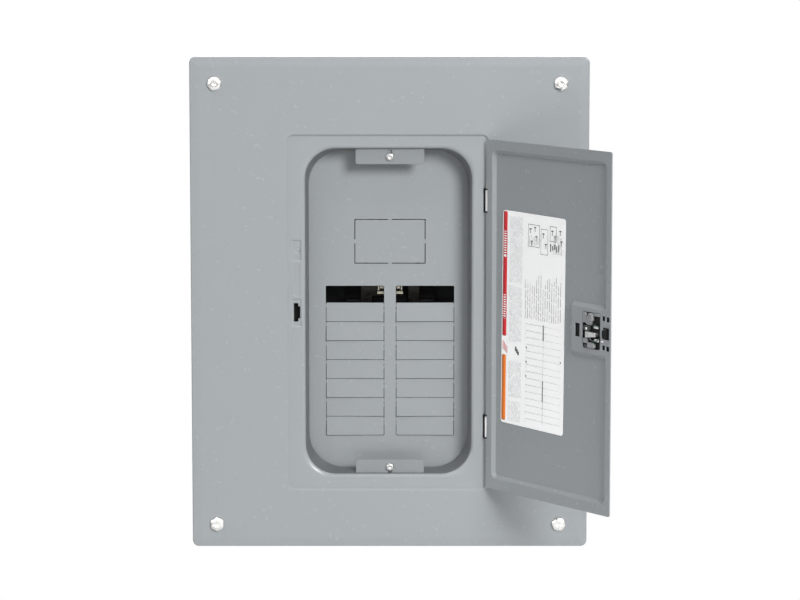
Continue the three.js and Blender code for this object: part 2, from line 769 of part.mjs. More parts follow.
const bondingScrew = screwAlongY(bond.x, bond.z, strap.front - GAP, 5, 3, 1.9, 40);
loadCenter.add(node('bonding_screw', bondingScrew, 'bond'));
loadCenter.add(node('ground_bar', groundBar(), 'aluminium'));
for (const [i, word] of ['lower', 'upper'].entries()) {
  const screw = screwAlongY(ground.x, groundScrewZ[i], ground.front - GAP, 3.8, 2.4, 1.8, 17);
  loadCenter.add(node(`ground_bar_screw_${word}`, screw, 'zinc'));
}
for (const [i, height] of ['lower', 'upper'].entries()) {
  for (const [j, word] of ['left', 'right'].entries()) {
    const place = [interiorScrewX[j], interiorScrewZ[i]];
    const screw = screwAlongY(...place, panFront - GAP, 4.2, 2.6, 1.9, 9.5);
    loadCenter.add(node(`interior_screw_${height}_${word}`, screw, 'zinc'));
  }
}

loadCenter.add(node('cover_trim', coverTrim(), 'paint'));
for (const [x, z, word] of [[-1, -1, 'lower_left'], [1, -1, 'lower_right'],
  [-1, 1, 'upper_left'], [1, 1, 'upper_right']]) {
  const screw = screwAlongY(x * screwAt.x, z * screwAt.z, cover.front - GAP, 7.1, 3.4, 1.85, 12);
  loadCenter.add(node(`cover_screw_${word}`, screw, 'zinc'));
}
loadCenter.add(node('deadfront_plate', deadfrontPlate(), 'paint'));
for (const [up, word, z] of [[1, 'top', tab.top], [-1, 'bottom', tab.bottom]]) {
  loadCenter.add(node(`cover_tab_${word}`, coverTab(up), 'paint'));
  const screw = screwAlongY(centreX, z, tab.front - GAP, 4, 2.3, 1.6, 6);
  loadCenter.add(node(`cover_tab_screw_${word}`, screw, 'zinc'));
}

// The door turns about the hinge axis, and everything on it turns with it.
const doorGroup = new THREE.Group();
doorGroup.position.set(hinge.x, hinge.y, 0);
doorGroup.rotation.z = THREE.MathUtils.degToRad(door.openAngle);
const closedFrame = new THREE.Group();
closedFrame.position.set(-hinge.x, -hinge.y, 0);
doorGroup.add(closedFrame);
loadCenter.add(doorGroup);

closedFrame.add(node('door_panel', doorPanel(), 'paint'));
for (const [i, word] of ['upper', 'lower'].entries()) {
  loadCenter.add(node(`hinge_leaf_${word}`, hingeLeaf(hinge.z[i]), 'zinc'));
  loadCenter.add(node(`hinge_pin_${word}`, hingePin(hinge.z[i]), 'zinc'));
  closedFrame.add(node(`hinge_knuckle_${word}`, hingeKnuckle(hinge.z[i]), 'zinc'));
}
closedFrame.add(node('directory_label', directoryLabel(), 'label'));
closedFrame.add(node('latch_housing', latchHousing(), 'latchPlastic'));
closedFrame.add(node('latch_spring', latchSpring(), 'zinc'));
closedFrame.add(node('latch_slide', latchSlide(), 'zinc'));

export default loadCenter;
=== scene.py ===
"""Residential load center: the looks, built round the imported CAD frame.

Shapes are worked out in millimetres in the CAD frame (+X right, -Y front, +Z up) and scaled to
metres when each mesh is made. Door pieces are drawn closed and then swung about the hinge.
"""

import json
import math
import random

import bmesh
import bpy
from mathutils import Matrix, Vector
from mathutils.geometry import tessellate_polygon


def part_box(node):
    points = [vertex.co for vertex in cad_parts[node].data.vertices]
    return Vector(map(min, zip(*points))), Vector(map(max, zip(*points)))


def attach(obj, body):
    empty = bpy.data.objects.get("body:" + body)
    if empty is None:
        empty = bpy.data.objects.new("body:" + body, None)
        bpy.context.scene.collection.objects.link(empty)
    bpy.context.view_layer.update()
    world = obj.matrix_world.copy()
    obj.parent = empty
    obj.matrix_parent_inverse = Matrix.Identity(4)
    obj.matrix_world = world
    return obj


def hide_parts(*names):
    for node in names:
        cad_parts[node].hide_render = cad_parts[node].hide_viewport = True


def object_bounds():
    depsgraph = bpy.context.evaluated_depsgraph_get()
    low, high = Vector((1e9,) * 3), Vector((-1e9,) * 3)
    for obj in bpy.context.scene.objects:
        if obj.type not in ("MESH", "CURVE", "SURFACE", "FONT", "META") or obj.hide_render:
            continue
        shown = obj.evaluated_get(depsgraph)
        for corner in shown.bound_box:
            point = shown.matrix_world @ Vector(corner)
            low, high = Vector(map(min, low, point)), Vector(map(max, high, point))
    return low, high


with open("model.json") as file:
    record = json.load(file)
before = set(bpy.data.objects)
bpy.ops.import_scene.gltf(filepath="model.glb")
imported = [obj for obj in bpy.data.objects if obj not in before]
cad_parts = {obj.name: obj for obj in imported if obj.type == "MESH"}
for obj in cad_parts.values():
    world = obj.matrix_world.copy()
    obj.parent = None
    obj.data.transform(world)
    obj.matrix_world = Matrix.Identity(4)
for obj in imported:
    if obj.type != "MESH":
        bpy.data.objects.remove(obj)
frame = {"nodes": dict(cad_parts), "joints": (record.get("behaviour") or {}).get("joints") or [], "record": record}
cad_low, cad_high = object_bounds()

MM = 0.001
BEND_STEPS = 5

# -------------------- dimensions from the frame


def span_mm(node):
    low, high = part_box(node)
    return low / MM, high / MM


def centre_of(node):
    """X and Z of the middle of a node."""
    low, high = span_mm(node)
    return (low.x + high.x) / 2, (low.z + high.z) / 2


hinge_joint = next(j for j in frame["joints"] if j["name"] == "door_hinge")
HINGE = Vector(hinge_joint["pos_m"]) / MM
OPEN_ANGLE = math.radians(abs(hinge_joint["range_deg"][0]))

cover_low, cover_high = span_mm("cover_trim")
dead_low, dead_high = span_mm("deadfront_plate")

COVER_FRONT = cover_low.y
SHEET = 1.5
THIN_SHEET = 1.2
CENTRE_X = 2.0

# -------------------- outlines and skins


def rect(x0, x1, z0, z1, radius):
    """Corners of a rectangle, anticlockwise from the lower left, each with its radius."""
    return [(x0, z0, radius), (x1, z0, radius), (x1, z1, radius), (x0, z1, radius)]


def rect_at(x, z, width, height, radius):
    return rect(x - width / 2, x + width / 2, z - height / 2, z + height / 2, radius)


def circle(x, z, radius, sides=24):
    turn = 2 * math.pi / sides
    return [(x + radius * math.cos(i * turn), z + radius * math.sin(i * turn)) for i in range(sides)]


def turn_between(d1, d2):
    return math.atan2(d1.x * d2.y - d1.y * d2.x, d1.dot(d2))


def round_corner(corner, d1, turn, radius, steps):
    """Points of the arc that rounds a corner, where a line along d1 turns."""
    start = corner - d1 * (radius * math.tan(abs(turn) / 2))
    centre = start + Vector((-d1.y, d1.x)) * math.copysign(radius, turn)
    arm = start - centre
    points = []
    for k in range(steps + 1):
        a = turn * k / steps
        c, s = math.cos(a), math.sin(a)
        points.append((centre.x + arm.x * c - arm.y * s, centre.y + arm.x * s + arm.y * c))
    return points


def outline(corners, grow=0.0, steps=6):
    """Points round a rounded polygon, moved outwards by grow."""
    points = []
    count = len(corners)
    for i, (x, z, radius) in enumerate(corners):
        before = Vector(corners[i - 1][:2])
        here = Vector((x, z))
        after = Vector(corners[(i + 1) % count][:2])
        d1 = (here - before).normalized()
        d2 = (after - here).normalized()
        n1 = Vector((d1.y, -d1.x))
        n2 = Vector((d2.y, -d2.x))
        corner = here + (n1 + n2) * (grow / (1 + n1.dot(n2)))
        turn = turn_between(d1, d2)
        r = max(0.05, radius + math.copysign(1, turn) * grow)
        points += round_corner(corner, d1, turn, r, steps)
    return points


def bends(points, steps=BEND_STEPS):
    """A cross-section of (grow, y, bend radius) as a line of (grow, y) with its corners rounded."""
    line = [points[0][:2]]
    for i in range(1, len(points) - 1):
        s, y, radius = points[i]
        before, here, after = Vector(points[i - 1][:2]), Vector((s, y)), Vector(points[i + 1][:2])
        d1, d2 = (here - before).normalized(), (after - here).normalized()
        turn = turn_between(d1, d2)
        if radius <= 0 or abs(turn) < 1e-4:
            line.append((s, y))
        else:
            line += round_corner(here, d1, turn, radius, steps)
    line.append(points[-1][:2])
    return line


class Skin:
    """A mesh made of rings in planes of constant Y, the strips between them and flat caps."""

    def __init__(self):
        self.bm = bmesh.new()

    def ring(self, points, y):
        return [self.bm.verts.new((x, y, z)) for x, z in points]

    def strip(self, a, b):
        count = len(a)
        for i in range(count):
            j = (i + 1) % count
            self.bm.faces.new((a[i], a[j], b[j], b[i]))

    def loft(self, rings):
        """Strips from each ring to the next; returns the first and the last ring."""
        for a, b in zip(rings, rings[1:]):
            self.strip(a, b)
        return rings[0], rings[-1]

    def walls(self, corners, line, steps=6):
        """Rings of one rounded polygon along a cross-section of (grow, y)."""
        return self.loft([self.ring(outline(corners, s, steps), y) for s, y in line])

    def round_walls(self, x, z, line, sides=24):
        """Rings of one circle along a cross-section of (radius, y)."""
        return self.loft([self.ring(circle(x, z, r, sides), y) for r, y in line])

    def cap(self, outer, holes=()):
        """A flat face inside the outer ring and outside the holes."""
        loops = [outer, *holes]
        verts = [v for loop in loops for v in loop]
        flat = [[Vector((v.co.x, v.co.z, 0)) for v in loop] for loop in loops]
        for triangle in tessellate_polygon(flat):
            corner = [verts[i] for i in triangle]
            if len(set(corner)) == 3:
                try:
                    self.bm.faces.new(corner)
                except ValueError:
                    pass

    def slab(self, corners, y_front, y_back, edge, holes=(), steps=4, edge_steps=3):
        """A closed plate with rounded edges and plain through holes, given as rounded polygons."""
        front = bends([(-edge * 3, y_front, 0), (0, y_front, edge), (0, y_back, 0)], edge_steps)[1:-1]
        back = bends([(0, y_front, 0), (0, y_back, edge), (-edge * 3, y_back, 0)], edge_steps)[1:-1]
        first, last = self.walls(corners, front + back, steps)
        near, far = [], []
        for hole in holes:
            a, b = self.walls(hole, [(-s, y) for s, y in front + back], steps)
            near.append(a)
            far.append(b)
        self.cap(first, near)
        self.cap(last, far)

    def mesh(self, name, transform=None):
        bmesh.ops.remove_doubles(self.bm, verts=self.bm.verts, dist=1e-4)
        bmesh.ops.dissolve_degenerate(self.bm, edges=self.bm.edges, dist=1e-5)
        bmesh.ops.recalc_face_normals(self.bm, faces=self.bm.faces)
        if transform is not None:
            self.bm.transform(transform)
        self.bm.transform(Matrix.Scale(MM, 4))
        data = bpy.data.meshes.new(name)
        self.bm.to_mesh(data)
        self.bm.free()
        return data


SWING = (
    Matrix.Translation((HINGE.x, HINGE.y, 0))
    @ Matrix.Rotation(OPEN_ANGLE, 4, "Z")
    @ Matrix.Translation((-HINGE.x, -HINGE.y, 0))
)


def add_piece(name, data, body, material, stands_for=(), weighted=True):
    """Puts a mesh in the scene as a smooth-shaded piece that rides on a body."""
    piece = bpy.data.objects.new(name, data)
    bpy.context.scene.collection.objects.link(piece)
    for polygon in data.polygons:
        polygon.use_smooth = True
    if material is not None:
        data.materials.append(material)
    if weighted:
        normals = piece.modifiers.new("normals", "WEIGHTED_NORMAL")
        normals.weight = 90
        normals.keep_sharp = True
    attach(piece, body)
    if stands_for:
        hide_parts(*stands_for)
    return piece


def cut_with(piece, cutters):
    """Cuts closed meshes out of a piece and keeps the result as its mesh."""
    for data in cutters:
        tool = bpy.data.objects.new("cutter", data)
        bpy.context.scene.collection.objects.link(tool)
        change = piece.modifiers.new("cut", "BOOLEAN")
        change.operation = "DIFFERENCE"
        change.solver = "EXACT"
        change.object = tool
        piece.modifiers.move(len(piece.modifiers) - 1, 0)
        bpy.context.view_layer.update()
        with bpy.context.temp_override(object=piece, active_object=piece, selected_objects=[piece]):
            bpy.ops.object.modifier_apply(modifier=change.name)
        bpy.data.objects.remove(tool)


# -------------------- materials


def shader(name, colour, roughness, metallic=0.0, specular=0.5, coat=0.0):
    material = bpy.data.materials.new(name)
    material.use_nodes = True
    tree = material.node_tree
    bsdf = tree.nodes["Principled BSDF"]
    bsdf.inputs["Base Color"].default_value = (*colour, 1)
    bsdf.inputs["Roughness"].default_value = roughness
    bsdf.inputs["Metallic"].default_value = metallic
    bsdf.inputs["Specular IOR Level"].default_value = specular
    bsdf.inputs["Coat Weight"].default_value = coat
    return material, tree, bsdf


def noise(tree, scale, detail=3.0, rough=0.5, stretch=None):
    """A noise texture in object coordinates, in periods per metre."""
    coords = tree.nodes.new("ShaderNodeTexCoord")
    texture = tree.nodes.new("ShaderNodeTexNoise")
    texture.inputs["Scale"].default_value = scale
    texture.inputs["Detail"].default_value = detail
    texture.inputs["Roughness"].default_value = rough
    source = coords.outputs["Object"]
    if stretch is not None:
        mapping = tree.nodes.new("ShaderNodeMapping")
        mapping.inputs["Scale"].default_value = stretch
        tree.links.new(source, mapping.inputs["Vector"])
        source = mapping.outputs["Vector"]
    tree.links.new(source, texture.inputs["Vector"])
    return texture.outputs["Fac"]


def drive(tree, bsdf, socket, value):
    tree.links.new(value, bsdf.inputs[socket])


def ramp(tree, value, low, high, out_low, out_high):
    """The value from low..high carried to out_low..out_high."""
    node = tree.nodes.new("ShaderNodeMapRange")
    for key, number in (("From Min", low), ("From Max", high), ("To Min", out_low), ("To Max", out_high)):
        node.inputs[key].default_value = number
    tree.links.new(value, node.inputs["Value"])
    return node.outputs["Result"]


def mottle(tree, scale, detail, out_low=0, out_high=1, rough=0.5):
    """Soft patches between two values."""
    return ramp(tree, noise(tree, scale, detail, rough), 0.3, 0.7, out_low, out_high)


def blend_colour(tree, factor, a, b):
    """Mixes two colours or colour outputs."""
    mix = tree.nodes.new("ShaderNodeMix")
    mix.data_type = "RGBA"
    tree.links.new(factor, mix.inputs["Factor"])
    for socket, colour in ((mix.inputs["A"], a), (mix.inputs["B"], b)):
        if isinstance(colour, bpy.types.NodeSocket):
            tree.links.new(colour, socket)
        else:
            socket.default_value = (*colour, 1)
    return mix.outputs["Result"]


def times(tree, a, b):
    node = tree.nodes.new("ShaderNodeMath")
    node.operation = "MULTIPLY"
    node.use_clamp = True
    for socket, value in zip(node.inputs, (a, b)):
        if isinstance(value, bpy.types.NodeSocket):
            tree.links.new(value, socket)
        else:
            socket.default_value = value
    return node.outputs["Value"]


def edge_mask(tree, low=0.52, high=0.6):
    """Bright on convex edges, from the surface's pointiness."""
    geometry = tree.nodes.new("ShaderNodeNewGeometry")
    return ramp(tree, geometry.outputs["Pointiness"], low, high, 0, 1)


def bend_mask(tree, radius=0.0008):
    """Bright on edges and tight bends, from the normal averaged over a small radius."""
    averaged = tree.nodes.new("ShaderNodeBevel")
    averaged.samples = 4
    averaged.inputs["Radius"].default_value = radius
    geometry = tree.nodes.new("ShaderNodeNewGeometry")
    product = tree.nodes.new("ShaderNodeVectorMath")
    product.operation = "DOT_PRODUCT"
    tree.links.new(averaged.outputs["Normal"], product.inputs[0])
    tree.links.new(geometry.outputs["Normal"], product.inputs[1])
    return ramp(tree, product.outputs["Value"], 0.97, 0.8, 0, 1)


def bump(tree, bsdf, height, strength, distance):
    node = tree.nodes.new("ShaderNodeBump")
    node.inputs["Strength"].default_value = strength
    node.inputs["Distance"].default_value = distance
    tree.links.new(height, node.inputs["Height"])
    drive(tree, bsdf, "Normal", node.outputs["Normal"])


def scaled(colour, factor):
    return tuple(min(1.0, c * factor) for c in colour)


def paint_material(name, colour, roughness=0.27):
    """Baked grey enamel: faint tone drift, orange peel, and edges where the film is thin."""
    material, tree, bsdf = shader(name, colour, roughness, specular=0.4)
    base = blend_colour(tree, mottle(tree, 170, 2), scaled(colour, 0.9985), scaled(colour, 1.0015))
    fine = ramp(tree, noise(tree, 700, 4, 0.6), 0.35, 0.65, 0, 0.35)
    speck = blend_colour(tree, fine, base, scaled(colour, 0.985))
    worn = times(tree, bend_mask(tree), ramp(tree, noise(tree, 90, 3), 0.35, 0.7, 0.1, 0.8))
    drive(tree, bsdf, "Base Color", blend_colour(tree, worn, speck, scaled(colour, 1.2)))
    drive(tree, bsdf, "Roughness", mottle(tree, 210, 2, roughness - 0.004, roughness + 0.004))
    bump(tree, bsdf, noise(tree, 620, 2, 0.4), 0.08, 0.0003)
    return material


def metal_material(name, colour, roughness=0.3, grain=420, streak=None, metallic=1.0):
    """Plated or milled metal: fine grain, uneven gloss and a little tarnish in patches."""
    material, tree, bsdf = shader(name, colour, roughness, metallic)
    tone = blend_colour(tree, mottle(tree, 55, 4), scaled(colour, 0.86), scaled(colour, 1.03))
    rub = times(tree, edge_mask(tree), 0.5)
    drive(tree, bsdf, "Base Color", blend_colour(tree, rub, tone, scaled(colour, 1.25)))
    drive(tree, bsdf, "Roughness", mottle(tree, 140, 3, roughness * 0.75, roughness * 1.35))
    bump(tree, bsdf, noise(tree, grain, 3, 0.5, streak), 0.15, 0.0002)
    return material


def bus_glint_material(name):
    """Bus bar darkened nearly to black as painted shade, with a painted glint towards the front of the stabs
    (lower Y), stained in patches.
    """
    shaded_tone, glint_tone = (0.05, 0.047, 0.042), (0.92, 0.86, 0.70)
    material, tree, bsdf = shader(name, shaded_tone, 0.3, metallic=1.0)
    coords = tree.nodes.new("ShaderNodeTexCoord")
    axes = tree.nodes.new("ShaderNodeSeparateXYZ")
    tree.links.new(coords.outputs["Object"], axes.inputs["Vector"])
    # painted glint: the colour turns pale towards the front of the stabs
    tip = ramp(tree, axes.outputs["Y"], -0.036, -0.041, 0, 1)
    stain = times(tree, mottle(tree, 150, 4, 0.8, 1.2), 0.2)
    drive(tree, bsdf, "Base Color", blend_colour(tree, stain, blend_colour(tree, tip, shaded_tone, glint_tone), shaded_tone))
    drive(tree, bsdf, "Roughness", mottle(tree, 140, 3, 0.2, 0.38))
    bump(tree, bsdf, noise(tree, 300, 3), 0.12, 0.0002)
    return material


def galvanised_shaded_material(name):
    """Hot-dip steel with its pattern of zinc crystals, its colour darkened nearly to black as painted shade."""
    colour = (0.028, 0.029, 0.030)
    material, tree, bsdf = shader(name, colour, 0.42, metallic=0.85)
    coords = tree.nodes.new("ShaderNodeTexCoord")
    cells = tree.nodes.new("ShaderNodeTexVoronoi")
    cells.inputs["Scale"].default_value = 110
    tree.links.new(coords.outputs["Object"], cells.inputs["Vector"])
    grey = tree.nodes.new("ShaderNodeSeparateColor")
    tree.links.new(cells.outputs["Color"], grey.inputs["Color"])
    tone = blend_colour(tree, grey.outputs["Red"], scaled(colour, 0.82), scaled(colour, 1.12))
    drive(tree, bsdf, "Base Color", tone)
    drive(tree, bsdf, "Roughness", ramp(tree, grey.outputs["Green"], 0, 1, 0.33, 0.52))
    bump(tree, bsdf, noise(tree, 300, 3), 0.1, 0.0002)
    return material


def plastic_material(name, colour, roughness=0.5, specular=0.5):
    """Moulded plastic with a fine spark-eroded texture and paler rubbed edges."""
    material, tree, bsdf = shader(name, colour, roughness, specular=specular)
    tone = blend_colour(tree, mottle(tree, 35, 3), scaled(colour, 0.85), scaled(colour, 1.15))
    rub = times(tree, edge_mask(tree), 0.35)
    rubbed = tuple(c * 1.3 + 0.015 for c in colour)
    drive(tree, bsdf, "Base Color", blend_colour(tree, rub, tone, rubbed))
    drive(tree, bsdf, "Roughness", mottle(tree, 90, 3, roughness - 0.07, roughness + 0.07))
    bump(tree, bsdf, noise(tree, 1400, 2), 0.2, 0.0002)
    return material


def paper_material(name, colour, roughness=0.6, grain=0.04):
    """Printed film or paper: faint fibre in the tone and in the surface."""
    material, tree, bsdf = shader(name, colour, roughness)
    fibre = mottle(tree, 450, 5, rough=0.65)
    tone = blend_colour(tree, fibre, scaled(colour, 1 - grain), scaled(colour, 1 + grain))
    drive(tree, bsdf, "Base Color", tone)
    drive(tree, bsdf, "Roughness", mottle(tree, 60, 3, roughness - 0.08, roughness + 0.08))
    bump(tree, bsdf, noise(tree, 500, 4), 0.08, 0.0001)
    return material


PAINT_GREY = (0.306, 0.326, 0.340)
paint = paint_material("grey_enamel", PAINT_GREY)
# the tabs' enamel is the same grey darkened, a painted shade for the shade they stand in under the lip
tab_paint_shaded = paint_material("grey_enamel_tab_painted_shade", scaled(PAINT_GREY, 0.78))
# the deadfront's enamel is the same grey darkened, a painted shade for its recess behind the cover
dead_paint_shaded = paint_material("grey_enamel_deadfront_painted_shade", scaled(PAINT_GREY, 0.94))
# the opening's wall gets the grey darkened to a painted shade, for the dark band inside the rolled edge
wall_paint_shaded = paint_material("grey_enamel_wall_painted_shade", scaled(PAINT_GREY, 0.38), 0.4)
box_paint = paint_material("grey_enamel_box", scaled(PAINT_GREY, 0.97), 0.48)
zinc = metal_material("bright_zinc", (0.86, 0.86, 0.85), 0.24)
# near-white, mostly non-metallic zinc for the hinge knuckles: their highlight painted into the colour
pale_zinc_highlight = metal_material("pale_zinc_highlight", (0.95, 0.95, 0.95), 0.5, 500, metallic=0.25)
nickel = metal_material("screw_nickel", (0.92, 0.91, 0.88), 0.26, 600)
spring_steel = metal_material("spring_steel", (0.80, 0.82, 0.80), 0.2, 300, (1, 1, 8))
aluminium = metal_material("milled_aluminium", (0.72, 0.73, 0.74), 0.36, 200, (1, 1, 14))
tinned_with_glint = bus_glint_material("tinned_bus_metal_painted_glint")
# the galvanised look is darkened nearly to black, a painted shade for the inside of the box and round the hinges
galvanised_shaded = galvanised_shaded_material("galvanised_sheet_painted_shade")
# black moulding, darker than real plastic, so that it also paints the shade seen through the open spaces and the
# keeper slot
insulator_black_and_shade = plastic_material("black_moulding_and_painted_shade", (0.004, 0.004, 0.0045), 0.5, 0.15)
latch_plastic = plastic_material("latch_moulding_grey", (0.27, 0.285, 0.29), 0.38)
latch_dark = plastic_material("latch_moulding_dark", (0.004, 0.0045, 0.0045), 0.6, 0.2)
screw_dull = metal_material("screw_dull", (0.55, 0.55, 0.54), 0.34, 600)
latch_smoke = plastic_material("latch_moulding_smoke", (0.055, 0.06, 0.06), 0.4)
# dark green steel: the shaded side of the latch leaves painted into their colour
leaf_steel_shaded = metal_material("leaf_steel_shaded", (0.16, 0.22, 0.19), 0.3, 300)
# near-white plate: the latch tongue's own finish, and on the leaf feet the leaves' highlights painted into colour
latch_plated_and_highlight = metal_material("latch_plated_and_painted_highlight", (0.97, 0.96, 0.95), 0.36, 300)
green_paint = metal_material("green_bond_finish", (0.03, 0.22, 0.07), 0.4)
paper = paper_material("label_film", (0.975, 0.98, 0.98), 0.3, 0.012)
# the film glows a little, which keeps it white where the door stands in its own shade
paper_inputs = paper.node_tree.nodes["Principled BSDF"].inputs
paper_inputs["Emission Color"].default_value = (1, 1, 1, 1)
paper_inputs["Emission Strength"].default_value = 0.09
ink_red = paper_material("print_red", (0.60, 0.012, 0.022), 0.45, 0.06)
ink_orange = paper_material("print_orange", (0.78, 0.19, 0.012), 0.45, 0.06)
ink_pale = paper_material("print_pale_grey", (0.60, 0.61, 0.62), 0.5, 0.06)
ink_mid = paper_material("print_mid_grey", (0.33, 0.335, 0.34), 0.5, 0.08)
ink_dark = paper_material("print_dark_grey", (0.10, 0.10, 0.105), 0.5, 0.1)

SLOT_LOOKS = {
    "grey_paint": paint,
    "galvanised_steel": galvanised_shaded,
    "zinc_plate": zinc,
    "spring_steel": spring_steel,
    "aluminium": aluminium,
    "tinned_bus": tinned_with_glint,
    "black_insulator": insulator_black_and_shade,
    "latch_moulding": latch_plastic,
    "latch_metal": spring_steel,
    "green_screw": green_paint,
    "paper_label": paper,
}
NODE_SLOT = {entry["node"]: entry["material_slot"] for entry in frame["record"]["subparts"]}

for node_name, node_object in frame["nodes"].items():
    look = SLOT_LOOKS[NODE_SLOT.get(node_name, "grey_paint")]
    node_object.data.materials.clear()
    node_object.data.materials.append(look)
    for polygon in node_object.data.polygons:
        polygon.use_smooth = True
    weld = node_object.modifiers.new("weld", "WELD")
    weld.merge_threshold = 0.00001
    soften = node_object.modifiers.new("soften", "BEVEL")
    soften.width = 0.00022
    soften.segments = 2
    soften.limit_method = "ANGLE"
    soften.angle_limit = math.radians(35)
    soften.use_clamp_overlap = True
    normals = node_object.modifiers.new("normals", "WEIGHTED_NORMAL")
    normals.weight = 90
frame["nodes"]["enclosure_box"].data.materials[0] = box_paint
for polygon in frame["nodes"]["enclosure_box"].data.polygons:
    polygon.use_smooth = False
# the hinge leaves take the near-black galvanised look, painted shade round the hinge pins
for word in ("upper", "lower"):
    frame["nodes"][f"hinge_leaf_{word}"].data.materials[0] = galvanised_shaded
    frame["nodes"][f"hinge_knuckle_{word}"].data.materials[0] = pale_zinc_highlight

# -------------------- cover

COVER = rect(cover_low.x, cover_high.x, cover_low.z, cover_high.z, 6)
SLOPE = 9.0
DROP = 0.8
RECESS = rect_at(-0.25, -8.15, 196.9, 354.1, 5)
OPENING_Z = -7
OPENING_TALL = 325.5
OPENING = rect_at(0.5, OPENING_Z, 164.6, OPENING_TALL, 30)
FLOOR = COVER_FRONT + 2
COVER_BACK = COVER_FRONT + SHEET
FLOOR_BACK = FLOOR + SHEET
LIP_END = FLOOR + 3.5
RIM_END = cover_high.y
KEEPER = [
    (-93.3, -16.4, 0.6), (-88.9, -16.4, 0.6), (-88.9, -13.1, 0.4), (-86.9, -13.1, 0.6),
    (-86.9, -1.2, 0.6), (-88.9, -1.2, 0.4), (-88.9, 2.1, 0.6), (-93.3, 2.1, 0.6),
]
NOTE_PAD = rect(-95.4, -85.9, 44.2, 65.2, 1.2)
KEEPER_PAD = rect(-95.6, -85.9, -21.6, 6.4, 1.2)
CHANNEL = rect(-93.6, -87.0, 9.2, 41.4, 1.0)
PAD_DEPTH = 0.95
ROLL = 3.3


def sunk(skin, corners, depth, floor, radius=0.35):
    """A shallow pressed area in a flat front; returns its outer and inner rings."""
    line = bends(
        [(radius * 3, floor, 0), (radius * 0.9, floor, radius), (-depth, floor + depth, radius),
         (-depth - radius * 3, floor + depth, 0)], 3)[1:-1]
    return skin.walls(corners, line, 4)


def opening_roll(skin, width=ROLL, steps=7):
    """The opening's rolled edge, wider at the corners; returns its outer and inner rings."""
    rings = []
    for k in range(steps + 1):
        t = math.pi / 2 * k / steps
        grow = width * (1 - math.sin(t))
        y = FLOOR + (LIP_END - FLOOR) * (1 - math.cos(t))
        corners = [(x, z, radius - 2.8 * grow) for x, z, radius in OPENING]
        rings.append(skin.ring(outline(corners, grow, 10), y))
    return skin.loft(rings)


def cover_mesh():
    skin = Skin()
    # front of the border, from the rim to the flat face
    border = bends([
        (0, RIM_END, 0), (0, COVER_FRONT + DROP, 1.4), (-SLOPE, COVER_FRONT, 40),
        (-SLOPE - 8, COVER_FRONT, 0)])[:-1]
    rim, face = skin.walls(COVER, border, 6)
    step = bends([(6, COVER_FRONT, 0), (1.1, COVER_FRONT, 0.5), (-0.9, FLOOR, 0.5), (-6, FLOOR, 0)])[1:-1]
    step_out, step_in = skin.walls(RECESS, step, 6)
    lip_out, lip_end = opening_roll(skin)
    # the back of the sheet
    back_border = bends([
        (-SHEET, RIM_END, 0), (-SHEET, COVER_FRONT + DROP + 1.5, 0), (-SLOPE, COVER_BACK, 30),
        (-SLOPE - 8, COVER_BACK, 0)])[:-1]
    back_rim, back_face = skin.walls(COVER, back_border, 6)
    back_step_out, back_step_in = skin.walls(RECESS, [(SHEET, COVER_BACK), (SHEET, FLOOR_BACK)], 6)
    back_lip_out, back_lip_end = skin.walls(OPENING, [(SHEET, FLOOR_BACK), (SHEET, LIP_END)], 10)
    skin.strip(rim, back_rim)
    skin.strip(lip_end, back_lip_end)
    # pressed areas on the stile beside the opening
    note_out, note_in = sunk(skin, NOTE_PAD, PAD_DEPTH, FLOOR)
    pad_out, pad_in = sunk(skin, KEEPER_PAD, PAD_DEPTH, FLOOR)
    channel_out, channel_in = sunk(skin, CHANNEL, 0.55, FLOOR, 0.25)
    note_level = FLOOR + PAD_DEPTH
    ring_out, ring_in = skin.round_walls(-88.8, 54.5, bends([
        (4.2, note_level, 0), (3.1, note_level, 0.2), (2.8, note_level + 0.5, 0.1),
        (1.5, note_level + 0.5, 0.1), (1.2, note_level + 0.1, 0.2), (0.3, note_level + 0.05, 0)], 3)[1:])
    skin.cap(ring_in)
    skin.cap(note_in, [ring_out])
    skin.cap(channel_in)
    slot_out, slot_in = skin.walls(
        KEEPER, [(0.35, note_level), (0.1, note_level + 0.1), (0, note_level + 0.35), (0, FLOOR_BACK)], 4)
    skin.cap(pad_in, [slot_out])
    skin.cap(face, [step_out])
    skin.cap(back_face, [back_step_out])
    skin.cap(step_in, [lip_out, note_out, pad_out, channel_out])
    skin.cap(back_step_in, [back_lip_out, slot_in])
    return skin.mesh("cover_sheet")


def prism(corners, y0, y1, steps=4):
    skin = Skin()
    a, b = skin.walls(corners, [(0, y0), (0, y1)], steps)
    skin.cap(a)
    skin.cap(b)
    return skin.mesh("cutter")


cover = add_piece("cover_sheet", cover_mesh(), "enclosure", paint, ["cover_trim"])
hinge_heights = [centre_of(f"hinge_knuckle_{word}")[1] for word in ("upper", "lower")]
cut_with(cover, [
    prism(rect_at(HINGE.x - 0.7, z, 5.8, 25.2, 1.4), COVER_FRONT - 3, FLOOR_BACK + 3)
    for z in hinge_heights
])

# the drawn wall of the opening, drafted inwards and more so at its corners; its enamel is darkened as a painted
# shade
WALL_END = dead_high.y - THIN_SHEET - 2.5
WALL_DRAFT = 3.0


def wall_rings(skin, inset, y0, y1, steps=8):
    """Rings of the drafted wall from y0 back to y1; returns the first and the last."""
    rings = []
    for k in range(steps + 1):
        t = k / steps
        draft = inset + WALL_DRAFT * math.sin(math.pi / 2 * t)
        corners = [(x, z, radius + 2.4 * draft) for x, z, radius in OPENING]
        rings.append(skin.ring(outline(corners, -draft, 10), y0 + (y1 - y0) * t))
    return skin.loft(rings)


